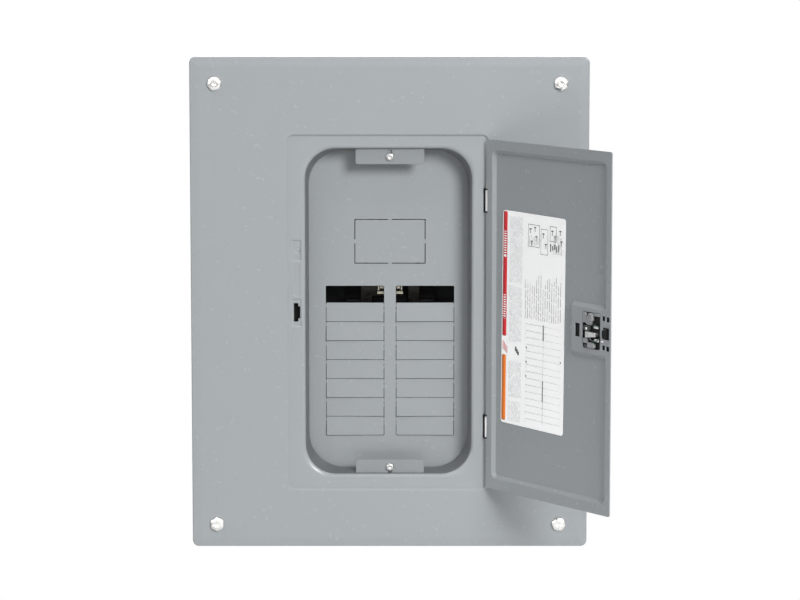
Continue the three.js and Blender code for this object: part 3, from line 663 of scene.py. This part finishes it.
wall = Skin()
inner_front, inner_end = wall_rings(wall, 0.02, LIP_END - 0.3, WALL_END)
outer_front, outer_end = wall_rings(wall, -0.8, LIP_END - 0.3, WALL_END)
wall.strip(inner_front, outer_front)
wall.strip(inner_end, outer_end)
add_piece("opening_wall", wall.mesh("opening_wall"), "enclosure", wall_paint_shaded)

# -------------------- deadfront

DEAD_FRONT = dead_high.y - THIN_SHEET
DEAD_BACK = dead_high.y
DEAD = rect(dead_low.x, dead_high.x, dead_low.z, dead_high.z, 8)
PITCH = 19.18
ROWS = 8
ROW_TOP = 16.2
ROW_HEIGHT = 17.0
COLUMN_IN = 5.9
COLUMN_OUT = 64.1
SLIT = 0.8
CRACK = 0.4
BLANK = (70.9, 44.7, 60.9)
TIE = 4.0
TAB_SCREW_Z = (147.2, -163.5)
TAB_FRONT = -89.7


def rounded_box(skin, size, edge, transform, steps=3):
    """A box with rounded edges, its centre at the origin before the transform."""
    made = bmesh.ops.create_cube(skin.bm, size=1)
    verts = made["verts"]
    for v in verts:
        v.co = Vector((v.co.x * size[0], v.co.y * size[1], v.co.z * size[2]))
    edges = list({e for v in verts for e in v.link_edges})
    result = bmesh.ops.bevel(
        skin.bm, geom=verts + edges, offset=edge, segments=steps, profile=0.5, affect="EDGES")
    touched = {v for v in result["verts"]} | {v for f in result["faces"] for v in f.verts}
    touched |= {v for v in verts if v.is_valid}
    grown = set(touched)
    for v in touched:
        for f in v.link_faces:
            grown.update(f.verts)
    for v in grown:
        v.co = transform @ v.co


def lean(row, column):
    """How far a closed space leans, in radians: forwards or back, and from side to side."""
    tip = math.radians(-3.6 + 0.8 * math.sin(2.3 * row + 1.9 * column + 0.4))
    twist = math.radians(1.1 * math.sin(3.7 * row + 2.6 * column + 1))
    return tip, twist


def deadfront_mesh():
    skin = Skin()
    rim_y = dead_low.y
    outer = bends([(0, rim_y, 0), (0, DEAD_BACK, 4.2), (-12, DEAD_BACK, 0)])[:-1]
    inner = bends([(-THIN_SHEET, rim_y, 0), (-THIN_SHEET, DEAD_FRONT, 3), (-12, DEAD_FRONT, 0)])[:-1]
    outer_rim, back = skin.walls(DEAD, outer, 6)
    inner_rim, front = skin.walls(DEAD, inner, 6)
    skin.strip(outer_rim, inner_rim)
    edge = [(0.35, DEAD_FRONT), (0.1, DEAD_FRONT + 0.1), (0, DEAD_FRONT + 0.35), (0, DEAD_BACK)]
    near, far = [], []

    def through(corners, line=edge, steps=3):
        a, b = skin.walls(corners, line, steps)
        near.append(a)
        far.append(b)

    column_bottom = ROW_TOP - ROW_HEIGHT - (ROWS - 1) * PITCH
    for side in (-1, 1):
        x0, x1 = sorted((CENTRE_X + side * COLUMN_IN, CENTRE_X + side * COLUMN_OUT))
        through(rect(x0, x1, column_bottom, ROW_TOP, 0.8))
    width, height, z = BLANK
    soft = [(0.2, DEAD_FRONT), (0.05, DEAD_FRONT + 0.06), (0, DEAD_FRONT + 0.2), (0, DEAD_BACK)]
    for sx in (-1, 1):
        for sz in (-1, 1):
            x_mid, x_far = CENTRE_X + sx * TIE / 2, CENTRE_X + sx * width / 2
            z_mid, z_far = z + sz * TIE / 2, z + sz * height / 2
            x_in, z_in = x_far - sx * SLIT, z_far - sz * SLIT
            corners = [
                (x_far, z_mid, 0.1), (x_far, z_far, 0.5), (x_mid, z_far, 0.1),
                (x_mid, z_in, 0.1), (x_in, z_in, 0.2), (x_in, z_mid, 0.1),
            ]
            if sx * sz < 0:
                corners.reverse()
            through(corners, soft, 2)
    skin.cap(front, near)
    skin.cap(back, far)
    # closed spaces, each held by two small ties
    for column, side in ((0, -1), (1, 1)):
        plate_width = COLUMN_OUT - COLUMN_IN - 2 * CRACK
        plate_height = PITCH - CRACK
        x = CENTRE_X + side * (COLUMN_IN + COLUMN_OUT) / 2
        for row in range(1, ROWS):
            top = ROW_TOP - ROW_HEIGHT - (row - 1) * PITCH
            tip, twist = lean(row, column)
            place = (
                Matrix.Translation((x, DEAD_FRONT + THIN_SHEET / 2, top))
                @ Matrix.Rotation(twist, 4, "Z")
                @ Matrix.Rotation(tip, 4, "X")
                @ Matrix.Translation((0, 0, -plate_height / 2))
            )
            rounded_box(skin, (plate_width, THIN_SHEET, plate_height), 0.3, place)
            for end in (-1, 1):
                tie_x = x + end * (plate_width / 2 + CRACK / 2)
                rounded_box(
                    skin, (CRACK * 5, THIN_SHEET - 0.3, 3), 0.15,
                    Matrix.Translation((tie_x, DEAD_FRONT + THIN_SHEET / 2, top - 3)), 2)
    # lugs behind the cover tabs
    lug_front = TAB_FRONT + THIN_SHEET + 0.5
    for up, screw_z in ((1, TAB_SCREW_Z[0]), (-1, TAB_SCREW_Z[1])):
        wall = dead_high.z - 0.6 if up > 0 else dead_low.z + 0.6
        low, high = sorted((screw_z - up * 5.5, wall))
        skin.slab(rect(CENTRE_X - 29, CENTRE_X + 29, low, high, 1.5), lug_front, lug_front + THIN_SHEET, 0.25)
    return skin.mesh("deadfront_face")


add_piece(
    "deadfront_face", deadfront_mesh(), "enclosure", dead_paint_shaded, ["deadfront_plate"])

# -------------------- contact jaws on the bus stabs, which carry the bus metal's painted glint

stab_low, stab_high = span_mm("line_bus_left")
STAB_FRONT = stab_low.y
jaws = Skin()
for row in range(ROWS):
    z = ROW_TOP - ROW_HEIGHT / 2 - row * PITCH + 5.2
    for side in (-1, 1):
        x = CENTRE_X + side * 9.2
        for offset, width, height in ((-2.3, 1.5, 4.4), (1.0, 3.6, 2.4)):
            middle = Matrix.Translation((x - side * offset, STAB_FRONT + 5, z - height / 2))
            rounded_box(jaws, (width, 9, height), 0.3, middle, 2)
add_piece("stab_jaws_glint", jaws.mesh("stab_jaws_glint"), "enclosure", tinned_with_glint)

# -------------------- tabs that hold the deadfront


TAB_WIDTH = 68
TAB_REACH = 7.3
KEY_ROUND = 2.4
KEY_SLOT = 1.8


def keyhole(screw_z, up, steps=12):
    """A round hole with a slot towards the edge of the opening, anticlockwise."""
    start = math.asin(KEY_SLOT / KEY_ROUND)
    slot_end = screw_z + up * 6.6
    hole = [(CENTRE_X - KEY_SLOT, slot_end, 0.06)]
    for k in reversed(range(steps + 1)):
        a = start + (2 * math.pi - 2 * start) * k / steps
        hole.append((CENTRE_X + KEY_ROUND * math.sin(a), screw_z + up * KEY_ROUND * math.cos(a), 0.06))
    hole.append((CENTRE_X + KEY_SLOT, slot_end, 0.06))
    return hole if up > 0 else hole[::-1]


def tab_mesh(up):
    """A keyholed tab on a foot behind the cover, above the opening (up = 1) or below it (-1)."""
    skin = Skin()
    screw_z = TAB_SCREW_Z[0] if up > 0 else TAB_SCREW_Z[1]
    edge = OPENING_Z + up * OPENING_TALL / 2 + up * (SHEET + 1.2)
    z0, z1 = sorted((screw_z - up * TAB_REACH, edge))
    x0, x1 = CENTRE_X - TAB_WIDTH / 2, CENTRE_X + TAB_WIDTH / 2
    below, above = (2.4, 0.4) if up > 0 else (0.4, 2.4)
    corners = [(x0, z0, below), (x1, z0, below), (x1, z1, above), (x0, z1, above)]
    skin.slab(corners, TAB_FRONT, TAB_FRONT + THIN_SHEET, 0.42, [keyhole(screw_z, up)], 4)
    foot_front = FLOOR_BACK + 0.3
    depth = TAB_FRONT + THIN_SHEET - foot_front
    rounded_box(
        skin, (67.4, depth, THIN_SHEET), 0.3,
        Matrix.Translation((CENTRE_X, foot_front + depth / 2, edge - up * THIN_SHEET / 2)))
    rounded_box(
        skin, (67.4, THIN_SHEET, 8), 0.3,
        Matrix.Translation((CENTRE_X, foot_front + THIN_SHEET / 2, edge + up * 4)))
    return skin.mesh("cover_tab")


for up, word in ((1, "top"), (-1, "bottom")):
    add_piece(
        f"deadfront_tab_{word}", tab_mesh(up), "enclosure", tab_paint_shaded, [f"cover_tab_{word}"])

# -------------------- door, drawn closed and then swung

BAND_FRONT = -96.9
BAND_BACK = BAND_FRONT + THIN_SHEET
PRESS = 3.2
FIELD_FRONT = BAND_FRONT - PRESS
FIELD_BACK = FIELD_FRONT + THIN_SHEET
DOOR_TOP, DOOR_BOTTOM = 165.8, -182.5
LATCH_Z = -7.0


def from_hinge(w):
    return HINGE.x - w


def door_rect(near, far, bottom, top, radius):
    return rect(from_hinge(far), from_hinge(near), bottom, top, radius)


def door_edge():
    """The door's outline, notched at its hinged edge beside each hinge."""
    near, deep, far = from_hinge(0.9), from_hinge(2.9), from_hinge(194.5)
    corners = [(far, DOOR_BOTTOM, 2.5), (near, DOOR_BOTTOM, 2.5)]
    for z in sorted(hinge_heights):
        low, high = z - 12.4, z + 12.4
        corners += [(near, low, 0.4), (deep, low, 0.4), (deep, high, 0.4), (near, high, 0.4)]
    return corners + [(near, DOOR_TOP, 2.5), (far, DOOR_TOP, 2.5)]


def field_outline():
    """The pressed field: a rounded rectangle less the latch pad at its free edge."""
    near, far = from_hinge(13.2), from_hinge(184.4)
    pad = from_hinge(133)
    return [
        (far, -168.6, 4), (near, -168.6, 4), (near, 153, 4), (far, 153, 4),
        (far, 18.1, 1.2), (pad, 18.1, 3.5), (pad, -31.6, 3.5), (far, -31.6, 1.2),
    ]


def door_mesh():
    skin = Skin()
    edge = bends([
        (-2, BAND_FRONT, 0), (0, BAND_FRONT, 0.35), (0, BAND_BACK, 0.35), (-2, BAND_BACK, 0)], 3)[1:-1]
    front, back = skin.walls(door_edge(), edge, 3)
    field = field_outline()
    outer = bends([
        (PRESS + 6, BAND_FRONT, 0), (PRESS, BAND_FRONT, 1.1), (0, FIELD_FRONT, 1.6),
        (-6, FIELD_FRONT, 0)])[1:-1]
    inner = bends([
        (PRESS + 5.5, BAND_BACK, 0), (PRESS - 0.5, BAND_BACK, 1.6), (-0.5, FIELD_BACK, 0.8),
        (-6.5, FIELD_BACK, 0)])[1:-1]
    band_hole_front, field_front = skin.walls(field, outer, 5)
    band_hole_back, field_back = skin.walls(field, inner, 5)
    holes_front, holes_back = [band_hole_front], [band_hole_back]
    line = [(0.25, BAND_FRONT), (0, BAND_FRONT + 0.25), (0, BAND_BACK - 0.25), (0.25, BAND_BACK)]
    pad_holes = [
        door_rect(152.2, 178.6, -24, 11, 2.4),
        door_rect(182.6, 191.8, -12.9, -1.6, 0.5),
        door_rect(140.8, 147.8, -14.3, -1.3, 0.5),
    ]
    for z in (7, -21):
        pad_holes.append(door_rect(181.6, 185.8, z - 2.2, z + 2.2, 0.4))
        pad_holes.append(door_rect(187.6, 192.2, z - 2.8, z + 1.8, 0.4))
    for corners in pad_holes:
        a, b = skin.walls(corners, line, 3)
        holes_front.append(a)
        holes_back.append(b)
    skin.cap(front, holes_front)
    skin.cap(back, holes_back)
    skin.cap(field_front)
    # the ring left for a lock, seen from inside
    lock = bends([
        (14, FIELD_BACK, 0), (12.6, FIELD_BACK, 0.2), (12.3, FIELD_BACK - 0.35, 0.2),
        (11.9, FIELD_BACK - 0.35, 0.2), (11.6, FIELD_BACK, 0.2), (10, FIELD_BACK, 0)], 2)[1:-1]
    lock_out, lock_in = skin.round_walls(from_hinge(173), 36.6, lock, 40)
    skin.cap(lock_in)
    skin.cap(field_back, [lock_out])
    return skin.mesh("door_sheet", SWING)


add_piece("door_sheet", door_mesh(), "door", paint, ["door_panel"])

# -------------------- label on the door's inside

LABEL_NEAR = 23.5  # from the hinge's axis
LABEL_BOTTOM = -114.0
LABEL_WIDE = 98.0
LABEL_TALL = 211.0
FILM_FRONT = FIELD_BACK + 0.3
FILM_BACK = FILM_FRONT + 0.25
LABEL_PLACE = (
    SWING
    @ Matrix.Translation((from_hinge(LABEL_NEAR + LABEL_WIDE / 2), 0, LABEL_BOTTOM + LABEL_TALL / 2))
    @ Matrix.Rotation(math.radians(-0.8), 4, "Y")
)
INK = 0.035


class Print:
    """Plain printed bars, as (across from the hinged edge, down from the top) in millimetres."""

    def __init__(self):
        self.skin = Skin()

    def bar(self, u0, u1, v0, v1, radius=0.0):
        x1, x0 = LABEL_WIDE / 2 - u0, LABEL_WIDE / 2 - u1
        z1, z0 = LABEL_TALL / 2 - v0, LABEL_TALL / 2 - v1
        if radius:
            a, b = self.skin.walls(
                rect(x0, x1, z0, z1, radius), [(0, FILM_BACK - 0.01), (0, FILM_BACK + INK)], 4)
        else:
            square = [(x0, z0), (x1, z0), (x1, z1), (x0, z1)]
            a, b = self.skin.ring(square, FILM_BACK - 0.01), self.skin.ring(square, FILM_BACK + INK)
            self.skin.strip(a, b)
        self.skin.cap(a)
        self.skin.cap(b)

    def frame(self, u0, u1, v0, v1, line):
        self.bar(u0, u1, v0, v0 + line)
        self.bar(u0, u1, v1 - line, v1)
        self.bar(u0, u0 + line, v0 + line, v1 - line)
        self.bar(u1 - line, u1, v0 + line, v1 - line)

    def column(self, u0, u1, v0, v1, pitch, line, ragged=0.0, seed=0):
        """Upright rules side by side, each broken into dashes of uneven length."""
        chance = random.Random(seed)
        u = u0
        while u + line < u1:
            v = v0 + ragged * chance.random()
            while v < v1 - 1:
                end = min(v1, v + 3 + 11 * chance.random())
                self.bar(u, u + line, v, end)
                v = end + 0.8 + 1.2 * chance.random()
            u += pitch

    def piece(self, name, material):
        data = self.skin.mesh(name, LABEL_PLACE)
        add_piece(name, data, "door", material, weighted=False)


film = Skin()
film.slab(rect_at(0, 0, LABEL_WIDE, LABEL_TALL, 3), FILM_FRONT, FILM_BACK, 0.06)
add_piece(
    "label_film", film.mesh("label_film", LABEL_PLACE), "door", paper, ["directory_label"])

red = Print()
for v0, v1 in ((1.0, 20.5), (46, 83.5), (107, 124.5)):
    red.bar(1.0, 7.4, v0, v1, 1.6)
for v0, v1 in ((20.5, 46), (83.5, 107)):
    v = v0 + 0.8
    while v < v1 - 1.4:
        red.bar(1.0, 7.4, v, v + 1.25)
        v += 2.35
    red.bar(1.0, 2.3, v0 - 1, v1 + 1)
    red.bar(6.1, 7.4, v0 - 1, v1 + 1)
for i in range(4):
    red.bar(2.0 + 2.1 * i, 3.0 + 2.1 * i, 129 + 1.8 * i, 138 + 1.1 * i)
red.piece("label_red_bars", ink_red)

orange = Print()
orange.bar(1.0, 7.4, 143, 208.5, 1.8)
orange.piece("label_orange_bar", ink_orange)

pale = Print()
for k, (v0, v1) in enumerate(((4, 70), (73, 129), (147, 184), (187, 208))):
    pale.column(11.5, 33, v0, v1, 1.75, 0.55, 1.5, k)
for row in range(15):
    v = 108 + 6.7 * row
    pale.bar(38, 94, v, v + 0.5)
    pale.bar(38, 38.8, v + 2.4, v + 3.6)
pale.bar(65.6, 66.3, 106, 205)
pale.piece("label_pale_rules", ink_pale)

mid = Print()
mid.column(37, 95, 58, 103, 3.4, 0.75, 14, 11)
mid.column(42, 60, 20, 30, 2.6, 0.6, 3, 12)
mid.column(80, 95, 16, 36, 2.4, 0.6, 4, 13)
mid.piece("label_mid_rules", ink_mid)

dark = Print()
dark.frame(40, 58, 10, 32, 0.55)
dark.frame(60, 71, 13, 38, 0.5)
dark.frame(74, 84, 9, 24, 0.55)
marks = (
    (42, 14), (49, 12), (51, 21), (44, 26), (62, 17), (66, 27), (76, 13), (80, 18), (88, 12), (90, 22))
for u, v in marks:
    dark.bar(u, u + 3.6, v, v + 1.2)
    dark.bar(u + 1.4, u + 2.3, v + 1.2, v + 5)
for i in range(5):
    dark.bar(74.5 + 3.1 * i, 76.2 + 3.1 * i, 26 + 1.6 * (i % 2), 34 - 1.4 * (i % 3), 0.5)
dark.bar(64.8, 66.6, 107, 122)
dark.bar(64.9, 66.4, 162, 182)
for u, v in ((38.6, 131), (38.6, 145), (38.4, 159), (92, 139)):
    dark.bar(u, u + 1.8, v, v + 1.8, 0.6)
for i in range(3):
    dark.bar(21.5 + 1.9 * i, 24 + 2.0 * i, 133 + 2.2 * i, 137.5 + 1.8 * i, 0.6)
dark.piece("label_dark_rules", ink_dark)

# -------------------- screws


def head_mesh(name, x, z, radius, seat, rise, lobes, shank, length, turn):
    """A plated screw with a low, slightly lobed head and a shallow pressed recess."""
    skin = Skin()
    sides = 48

    def ring(scale, y, lobed=1.0):
        points = []
        for i in range(sides):
            a = 2 * math.pi * i / sides
            r = scale * radius * (1 - lobes * lobed * (0.5 - 0.5 * math.cos(6 * (a + turn))))
            points.append((x + r * math.cos(a), z + r * math.sin(a)))
        return skin.ring(points, y)

    profile = [
        (0.985, seat, 1), (1.0, seat - 0.25, 1), (1.0, seat - rise * 0.35, 1), (0.97, seat - rise * 0.52, 1),
        (0.9, seat - rise * 0.7, 0.8), (0.72, seat - rise * 0.9, 0.4), (0.5, seat - rise, 0.1),
        (0.34, seat - rise, 0), (0.28, seat - rise * 0.94, 0), (0.2, seat - rise * 0.8, 0),
    ]
    seat_ring, recess_ring = skin.loft([ring(*row) for row in profile])
    skin.cap(recess_ring)
    thread = []
    y = seat
    while y < seat + length:
        thread += [(shank, y), (shank, y + 0.55), (shank - 0.35, y + 0.8), (shank - 0.35, y + 1.05)]
        y += 1.3
    top, tip = skin.round_walls(x, z, thread + [(shank * 0.4, seat + length + 0.4)], 24)
    skin.cap(seat_ring, [top])
    skin.cap(tip)
    return skin.mesh(name)


def add_screw(node, material, *shape):
    data = head_mesh(f"{node}_head", *centre_of(node), *shape)
    add_piece(f"{node}_head", data, "enclosure", material, [node])


for k, corner in enumerate(("lower_left", "lower_right", "upper_left", "upper_right")):
    shape = (7.1, COVER_FRONT - 0.3, 3.2, 0.055, 1.8, 10.5, 0.5 + 0.7 * k)
    add_screw(f"cover_screw_{corner}", nickel, *shape)
for k, word in enumerate(("top", "bottom")):
    add_screw(f"cover_tab_screw_{word}", screw_dull, 4.0, TAB_FRONT - 0.3, 2.2, 0.05, 1.55, 4.8, 0.3 + k)

# -------------------- latch, seen from inside the door


def pad_slab(skin, near, far, bottom, top, y_front, y_back, radius, edge):
    skin.slab(door_rect(near, far, bottom, top, radius), y_front, y_back, edge, (), 3, 3)


def add_latch_piece(name, skin, body, material, stands_for=()):
    add_piece(name, skin.mesh(name, SWING), body, material, stands_for)


TRAY_BACK = BAND_FRONT - 0.3
TRAY_FRONT = TRAY_BACK - 3.1
tray = Skin()
shell, shell_back = tray.walls(door_rect(139.5, 190, LATCH_Z - 19, LATCH_Z + 19, 2), bends([
    (-2, TRAY_FRONT, 0), (0, TRAY_FRONT, 0.8), (0, TRAY_FRONT + 1.5, 0)], 4)[1:], 5)
grip_line = [(0.8, TRAY_FRONT), (0.25, TRAY_FRONT + 0.2), (0, TRAY_FRONT + 0.8), (0, TRAY_FRONT + 1.5)]
grip_out, grip_in = tray.walls(door_rect(155, 180, LATCH_Z - 5.5, LATCH_Z + 5.5, 1.2), grip_line, 4)
tray.cap(shell, [grip_out])
tray.cap(shell_back, [grip_in])
for side in (1, -1):
    low, high = sorted((LATCH_Z + side * 7.3, LATCH_Z + side * 18.8))
    pad_slab(tray, 139.7, 189.8, low, high, TRAY_FRONT + 1.4, TRAY_BACK, 1.8, 0.1)
    low, high = sorted((LATCH_Z + side * 8, LATCH_Z + side * 18.4))
    pad_slab(tray, 184, 192.8, low, high, TRAY_BACK - 0.8, TRAY_BACK, 0.8, 0.1)
pad_slab(tray, 139.7, 151, LATCH_Z - 7.4, LATCH_Z + 7.4, TRAY_FRONT + 1.4, TRAY_BACK, 0.1, 0.1)
add_latch_piece("latch_tray", tray, "door", latch_dark, ["latch_housing"])

# moulded bodies that stand in the window of the pad: near, far, bottom, top, proud, radius, edge
bodies = Skin()
for *sides, proud, radius, edge in (
    (152.8, 158.0, 0.4, 10.6, 0.4, 0.8, 0.5),
    (157.6, 166.2, -1.2, 7.4, 0.9, 2.6, 0.9),
    (161.5, 168.6, 2.2, 10.4, 1.6, 2.2, 0.9),
    (168.0, 177.8, 7.9, 10.6, 0.4, 0.5, 0.3),
    (152.8, 160.5, -19.4, -14.2, 0.3, 1.6, 0.7),
    (160.8, 171.0, -23.4, -17.8, 1.6, 2.0, 0.9),
):
    pad_slab(bodies, *sides, TRAY_BACK - 0.4, BAND_BACK + proud, radius, edge)
add_latch_piece("latch_bodies", bodies, "door", latch_plastic)
boss = Skin()
pad_slab(boss, 154.2, 163.4, -7.4, -1.8, TRAY_BACK - 0.4, BAND_BACK + 0.9, 2.2, 0.8)
pad_slab(boss, 154.2, 161.0, -23.8, -20.6, TRAY_BACK - 0.4, BAND_BACK + 0.2, 1.2, 0.5)
add_latch_piece("latch_boss", boss, "door", latch_smoke)


def bent_strip(path, width, thick):
    """A flat strip set on edge along a path of (w, z, y), as wide as given along Y."""
    skin = Skin()
    rings = []
    flat = [Vector((from_hinge(w), z)) for w, z, _ in path]
    for i, here in enumerate(flat):
        y = path[i][2]
        along = (flat[min(i + 1, len(flat) - 1)] - flat[max(i - 1, 0)]).normalized()
        side = Vector((-along.y, along.x)) * (thick / 2)
        corners = [(here + side, y), (here - side, y), (here - side, y + width), (here + side, y + width)]
        rings.append([skin.bm.verts.new((c.x, level, c.y)) for c, level in corners])
    for end_ring in skin.loft(rings):
        skin.bm.faces.new(end_ring)
    return skin


def arc(centre, across, up, start, end, level, steps=20):
    points = []
    for k in range(steps + 1):
        a = math.radians(start + (end - start) * k / steps)
        points.append((centre[0] + across * math.cos(a), centre[1] + up * math.sin(a), level))
    return points


upper_leaf = arc((172.0, -5.6), 8.4, 5.6, 40, 150, BAND_BACK + 0.4)
lower_leaf = arc((171.5, -9.4), 8.0, 6.6, -150, -30, BAND_BACK + 0.4)
for word, path in (("upper", upper_leaf), ("lower", lower_leaf)):
    stands_for = ["latch_spring"] if word == "upper" else []
    leaf = bent_strip(path, 1.6, 0.6)
    add_latch_piece(f"latch_leaf_{word}", leaf, "door", leaf_steel_shaded, stands_for)
# pale pads where the spring leaves' highlights fall: painted highlights
feet = Skin()
pad_slab(feet, 170.0, 177.4, -3.7, -1.3, BAND_BACK + 0.1, BAND_BACK + 0.9, 1.1, 0.35)
pad_slab(feet, 171.2, 178.0, -16.4, -13.5, BAND_BACK + 0.1, BAND_BACK + 0.9, 1.0, 0.35)
pad_slab(feet, 180.2, 183.8, -15.9, -14.5, BAND_BACK - 0.3, BAND_BACK + 0.4, 0.6, 0.3)
pad_slab(feet, 158.2, 161.0, -6.2, -3.6, BAND_BACK + 0.7, BAND_BACK + 1.6, 1.2, 0.5)
add_latch_piece("latch_leaf_feet_highlight", feet, "door", latch_plated_and_highlight)

plate_front = TRAY_BACK - 1.35
slide = Skin()
pad_slab(slide, 153, 188.3, LATCH_Z - 6.0, LATCH_Z + 6.0, plate_front, plate_front + 0.9, 1.0, 0.2)
pad_slab(slide, 160, 169, LATCH_Z - 4.6, LATCH_Z + 4.6, plate_front - 3, plate_front + 0.3, 1.4, 0.7)
for w in (161, 163.3, 165.6, 167.9):
    pad_slab(slide, w, w + 0.8, LATCH_Z - 4, LATCH_Z + 4, plate_front - 3.6, plate_front - 2.5, 0.35, 0.25)
hook_front = FLOOR_BACK + 0.4
pad_slab(slide, 186.8, 188.3, LATCH_Z - 4.2, LATCH_Z + 3.7, plate_front, hook_front + 1.9, 0.3, 0.25)
pad_slab(slide, 187.0, 190.6, LATCH_Z - 4.2, LATCH_Z + 3.7, hook_front, hook_front + 1.9, 0.5, 0.35)
add_latch_piece("latch_hook_slide", slide, "latch", latch_dark, ["latch_slide"])
catch = Skin()
pad_slab(catch, 182.9, 186.4, LATCH_Z - 4.6, LATCH_Z + 4.2, plate_front + 0.8, BAND_FRONT - 0.15, 0.5, 0.4)
add_latch_piece("latch_catch", catch, "latch", latch_smoke)
tongue = Skin()
tongue.slab([
    (from_hinge(174.0), -11.6, 0.7), (from_hinge(158.6), -13.5, 0.7),
    (from_hinge(158.6), -7.6, 0.7), (from_hinge(174.0), -8.2, 0.7),
], plate_front + 0.5, BAND_BACK + 2.0, 0.4, (), 4, 4)
add_latch_piece("latch_tongue", tongue, "latch", latch_plated_and_highlight)

# -------------------- shroud behind the keeper slot, its near-black moulding a painted shade for the slot

shroud = Skin()
shroud_box = rect(-98.4, -83.7, -19.4, 5.2, 1)
outer_line = [(0, FLOOR_BACK + 0.05), (0, FLOOR_BACK + 6.6)]
inner_line = [(-0.8, FLOOR_BACK + 0.05), (-0.8, FLOOR_BACK + 5.8)]
shroud_rim, shroud_back = shroud.walls(shroud_box, outer_line, 3)
shroud_lip, shroud_floor = shroud.walls(shroud_box, inner_line, 3)
shroud.strip(shroud_rim, shroud_lip)
shroud.cap(shroud_back)
shroud.cap(shroud_floor)
add_piece("keeper_shroud", shroud.mesh("keeper_shroud"), "enclosure", insulator_black_and_shade)

# -------------------- camera, light and floor


def place_facing(name, data, position, target):
    """Puts a camera or light in the scene, looking at the target."""
    thing = bpy.data.objects.new(name, data)
    bpy.context.scene.collection.objects.link(thing)
    thing.location = position
    thing.rotation_euler = (Vector(target) - Vector(position)).to_track_quat("-Z", "Y").to_euler()
    return thing


def area_light(name, position, target, size, power):
    data = bpy.data.lights.new(name, "AREA")
    data.shape = "RECTANGLE"
    data.size, data.size_y = size
    data.energy = power
    place_facing(name, data, position, target)


def mix_surface(tree, factor, a, b, output):
    """Shows shader a where the factor is 0 and b where it is 1."""
    mix = tree.nodes.new("ShaderNodeMixShader")
    for value, socket in zip((factor, a, b), mix.inputs):
        tree.links.new(value, socket)
    tree.links.new(mix.outputs["Shader"], tree.nodes[output].inputs["Surface"])


scene = bpy.context.scene
camera_data = bpy.data.cameras.new("camera")
camera_data.sensor_width = 36
camera_data.lens = 150.1
camera_data.clip_end = 100
eye = (0.0124, COVER_FRONT * MM - 3.278, 0.4262)
aim = (0.0120, COVER_FRONT * MM, 0.0056)
scene.camera = place_facing("camera", camera_data, eye, aim)

scene.view_settings.view_transform = "Standard"
scene.view_settings.look = "None"
scene.view_settings.exposure = 0
scene.view_settings.gamma = 1

# a white room for the camera and for reflections, which adds no other light
world = bpy.data.worlds.new("studio")
scene.world = world
world.use_nodes = True
sky = world.node_tree
sky_light = sky.nodes["Background"]
sky_seen = sky.nodes.new("ShaderNodeBackground")
for shade, strength in ((sky_light, 0.0), (sky_seen, 1.0)):
    shade.inputs["Color"].default_value = (1, 1, 1, 1)
    shade.inputs["Strength"].default_value = strength
sky_path = sky.nodes.new("ShaderNodeLightPath")
sky_sharp = sky.nodes.new("ShaderNodeMath")
sky_sharp.operation = "MAXIMUM"
sky.links.new(sky_path.outputs["Is Camera Ray"], sky_sharp.inputs[0])
sky.links.new(sky_path.outputs["Is Glossy Ray"], sky_sharp.inputs[1])
mix_surface(
    sky, sky_sharp.outputs["Value"], sky_light.outputs["Background"], sky_seen.outputs["Background"],
    "World Output")

area_light("key_right", (1.7, -3.1, 1.6), (0, -0.1, 0), (1.3, 1.3), 143)
area_light("overhead", (-1.0, -1.2, 2.9), (0, -0.1, 0), (1.6, 1.0), 28)
area_light("fill_left", (-2.3, -2.8, 0.9), (0, -0.1, 0), (1.6, 1.8), 11)
area_light("side_left", (-3.4, -0.9, 0.3), (0, -0.1, 0), (1.6, 1.6), 5)
area_light("card_low", (-0.5, -1.1, -0.75), (0.05, -0.1, -0.2), (0.9, 0.5), 3)
beam_data = bpy.data.lights.new("door_beam", "SPOT")
beam_data.energy = 92
beam_data.spot_size = math.radians(15)
beam_data.spot_blend = 1
beam_data.shadow_soft_size = 0.3
place_facing("door_beam", beam_data, (-3.0, -0.75, 1.2), (0.19, -0.22, -0.24))
area_light("back", (0.6, 3.2, 1.4), (0, 0, 0), (2.6, 2.0), 60)

floor_mesh = bpy.data.meshes.new("floor")
floor_mesh.from_pydata([(-40, -20, 0), (40, -20, 0), (40, 60, 0), (-40, 60, 0)], [], [(0, 1, 2, 3)])
floor = bpy.data.objects.new("floor", floor_mesh)
scene.collection.objects.link(floor)
floor.location = (0, 0, cad_low.z - 0.35)
floor_look, floor_tree, floor_bsdf = shader("pale_floor", (0.9, 0.9, 0.9), 0.9, specular=0)
floor_glow = floor_tree.nodes.new("ShaderNodeEmission")
floor_path = floor_tree.nodes.new("ShaderNodeLightPath")
mix_surface(
    floor_tree, floor_path.outputs["Is Camera Ray"], floor_bsdf.outputs["BSDF"],
    floor_glow.outputs["Emission"], "Material Output")
floor_mesh.materials.append(floor_look)
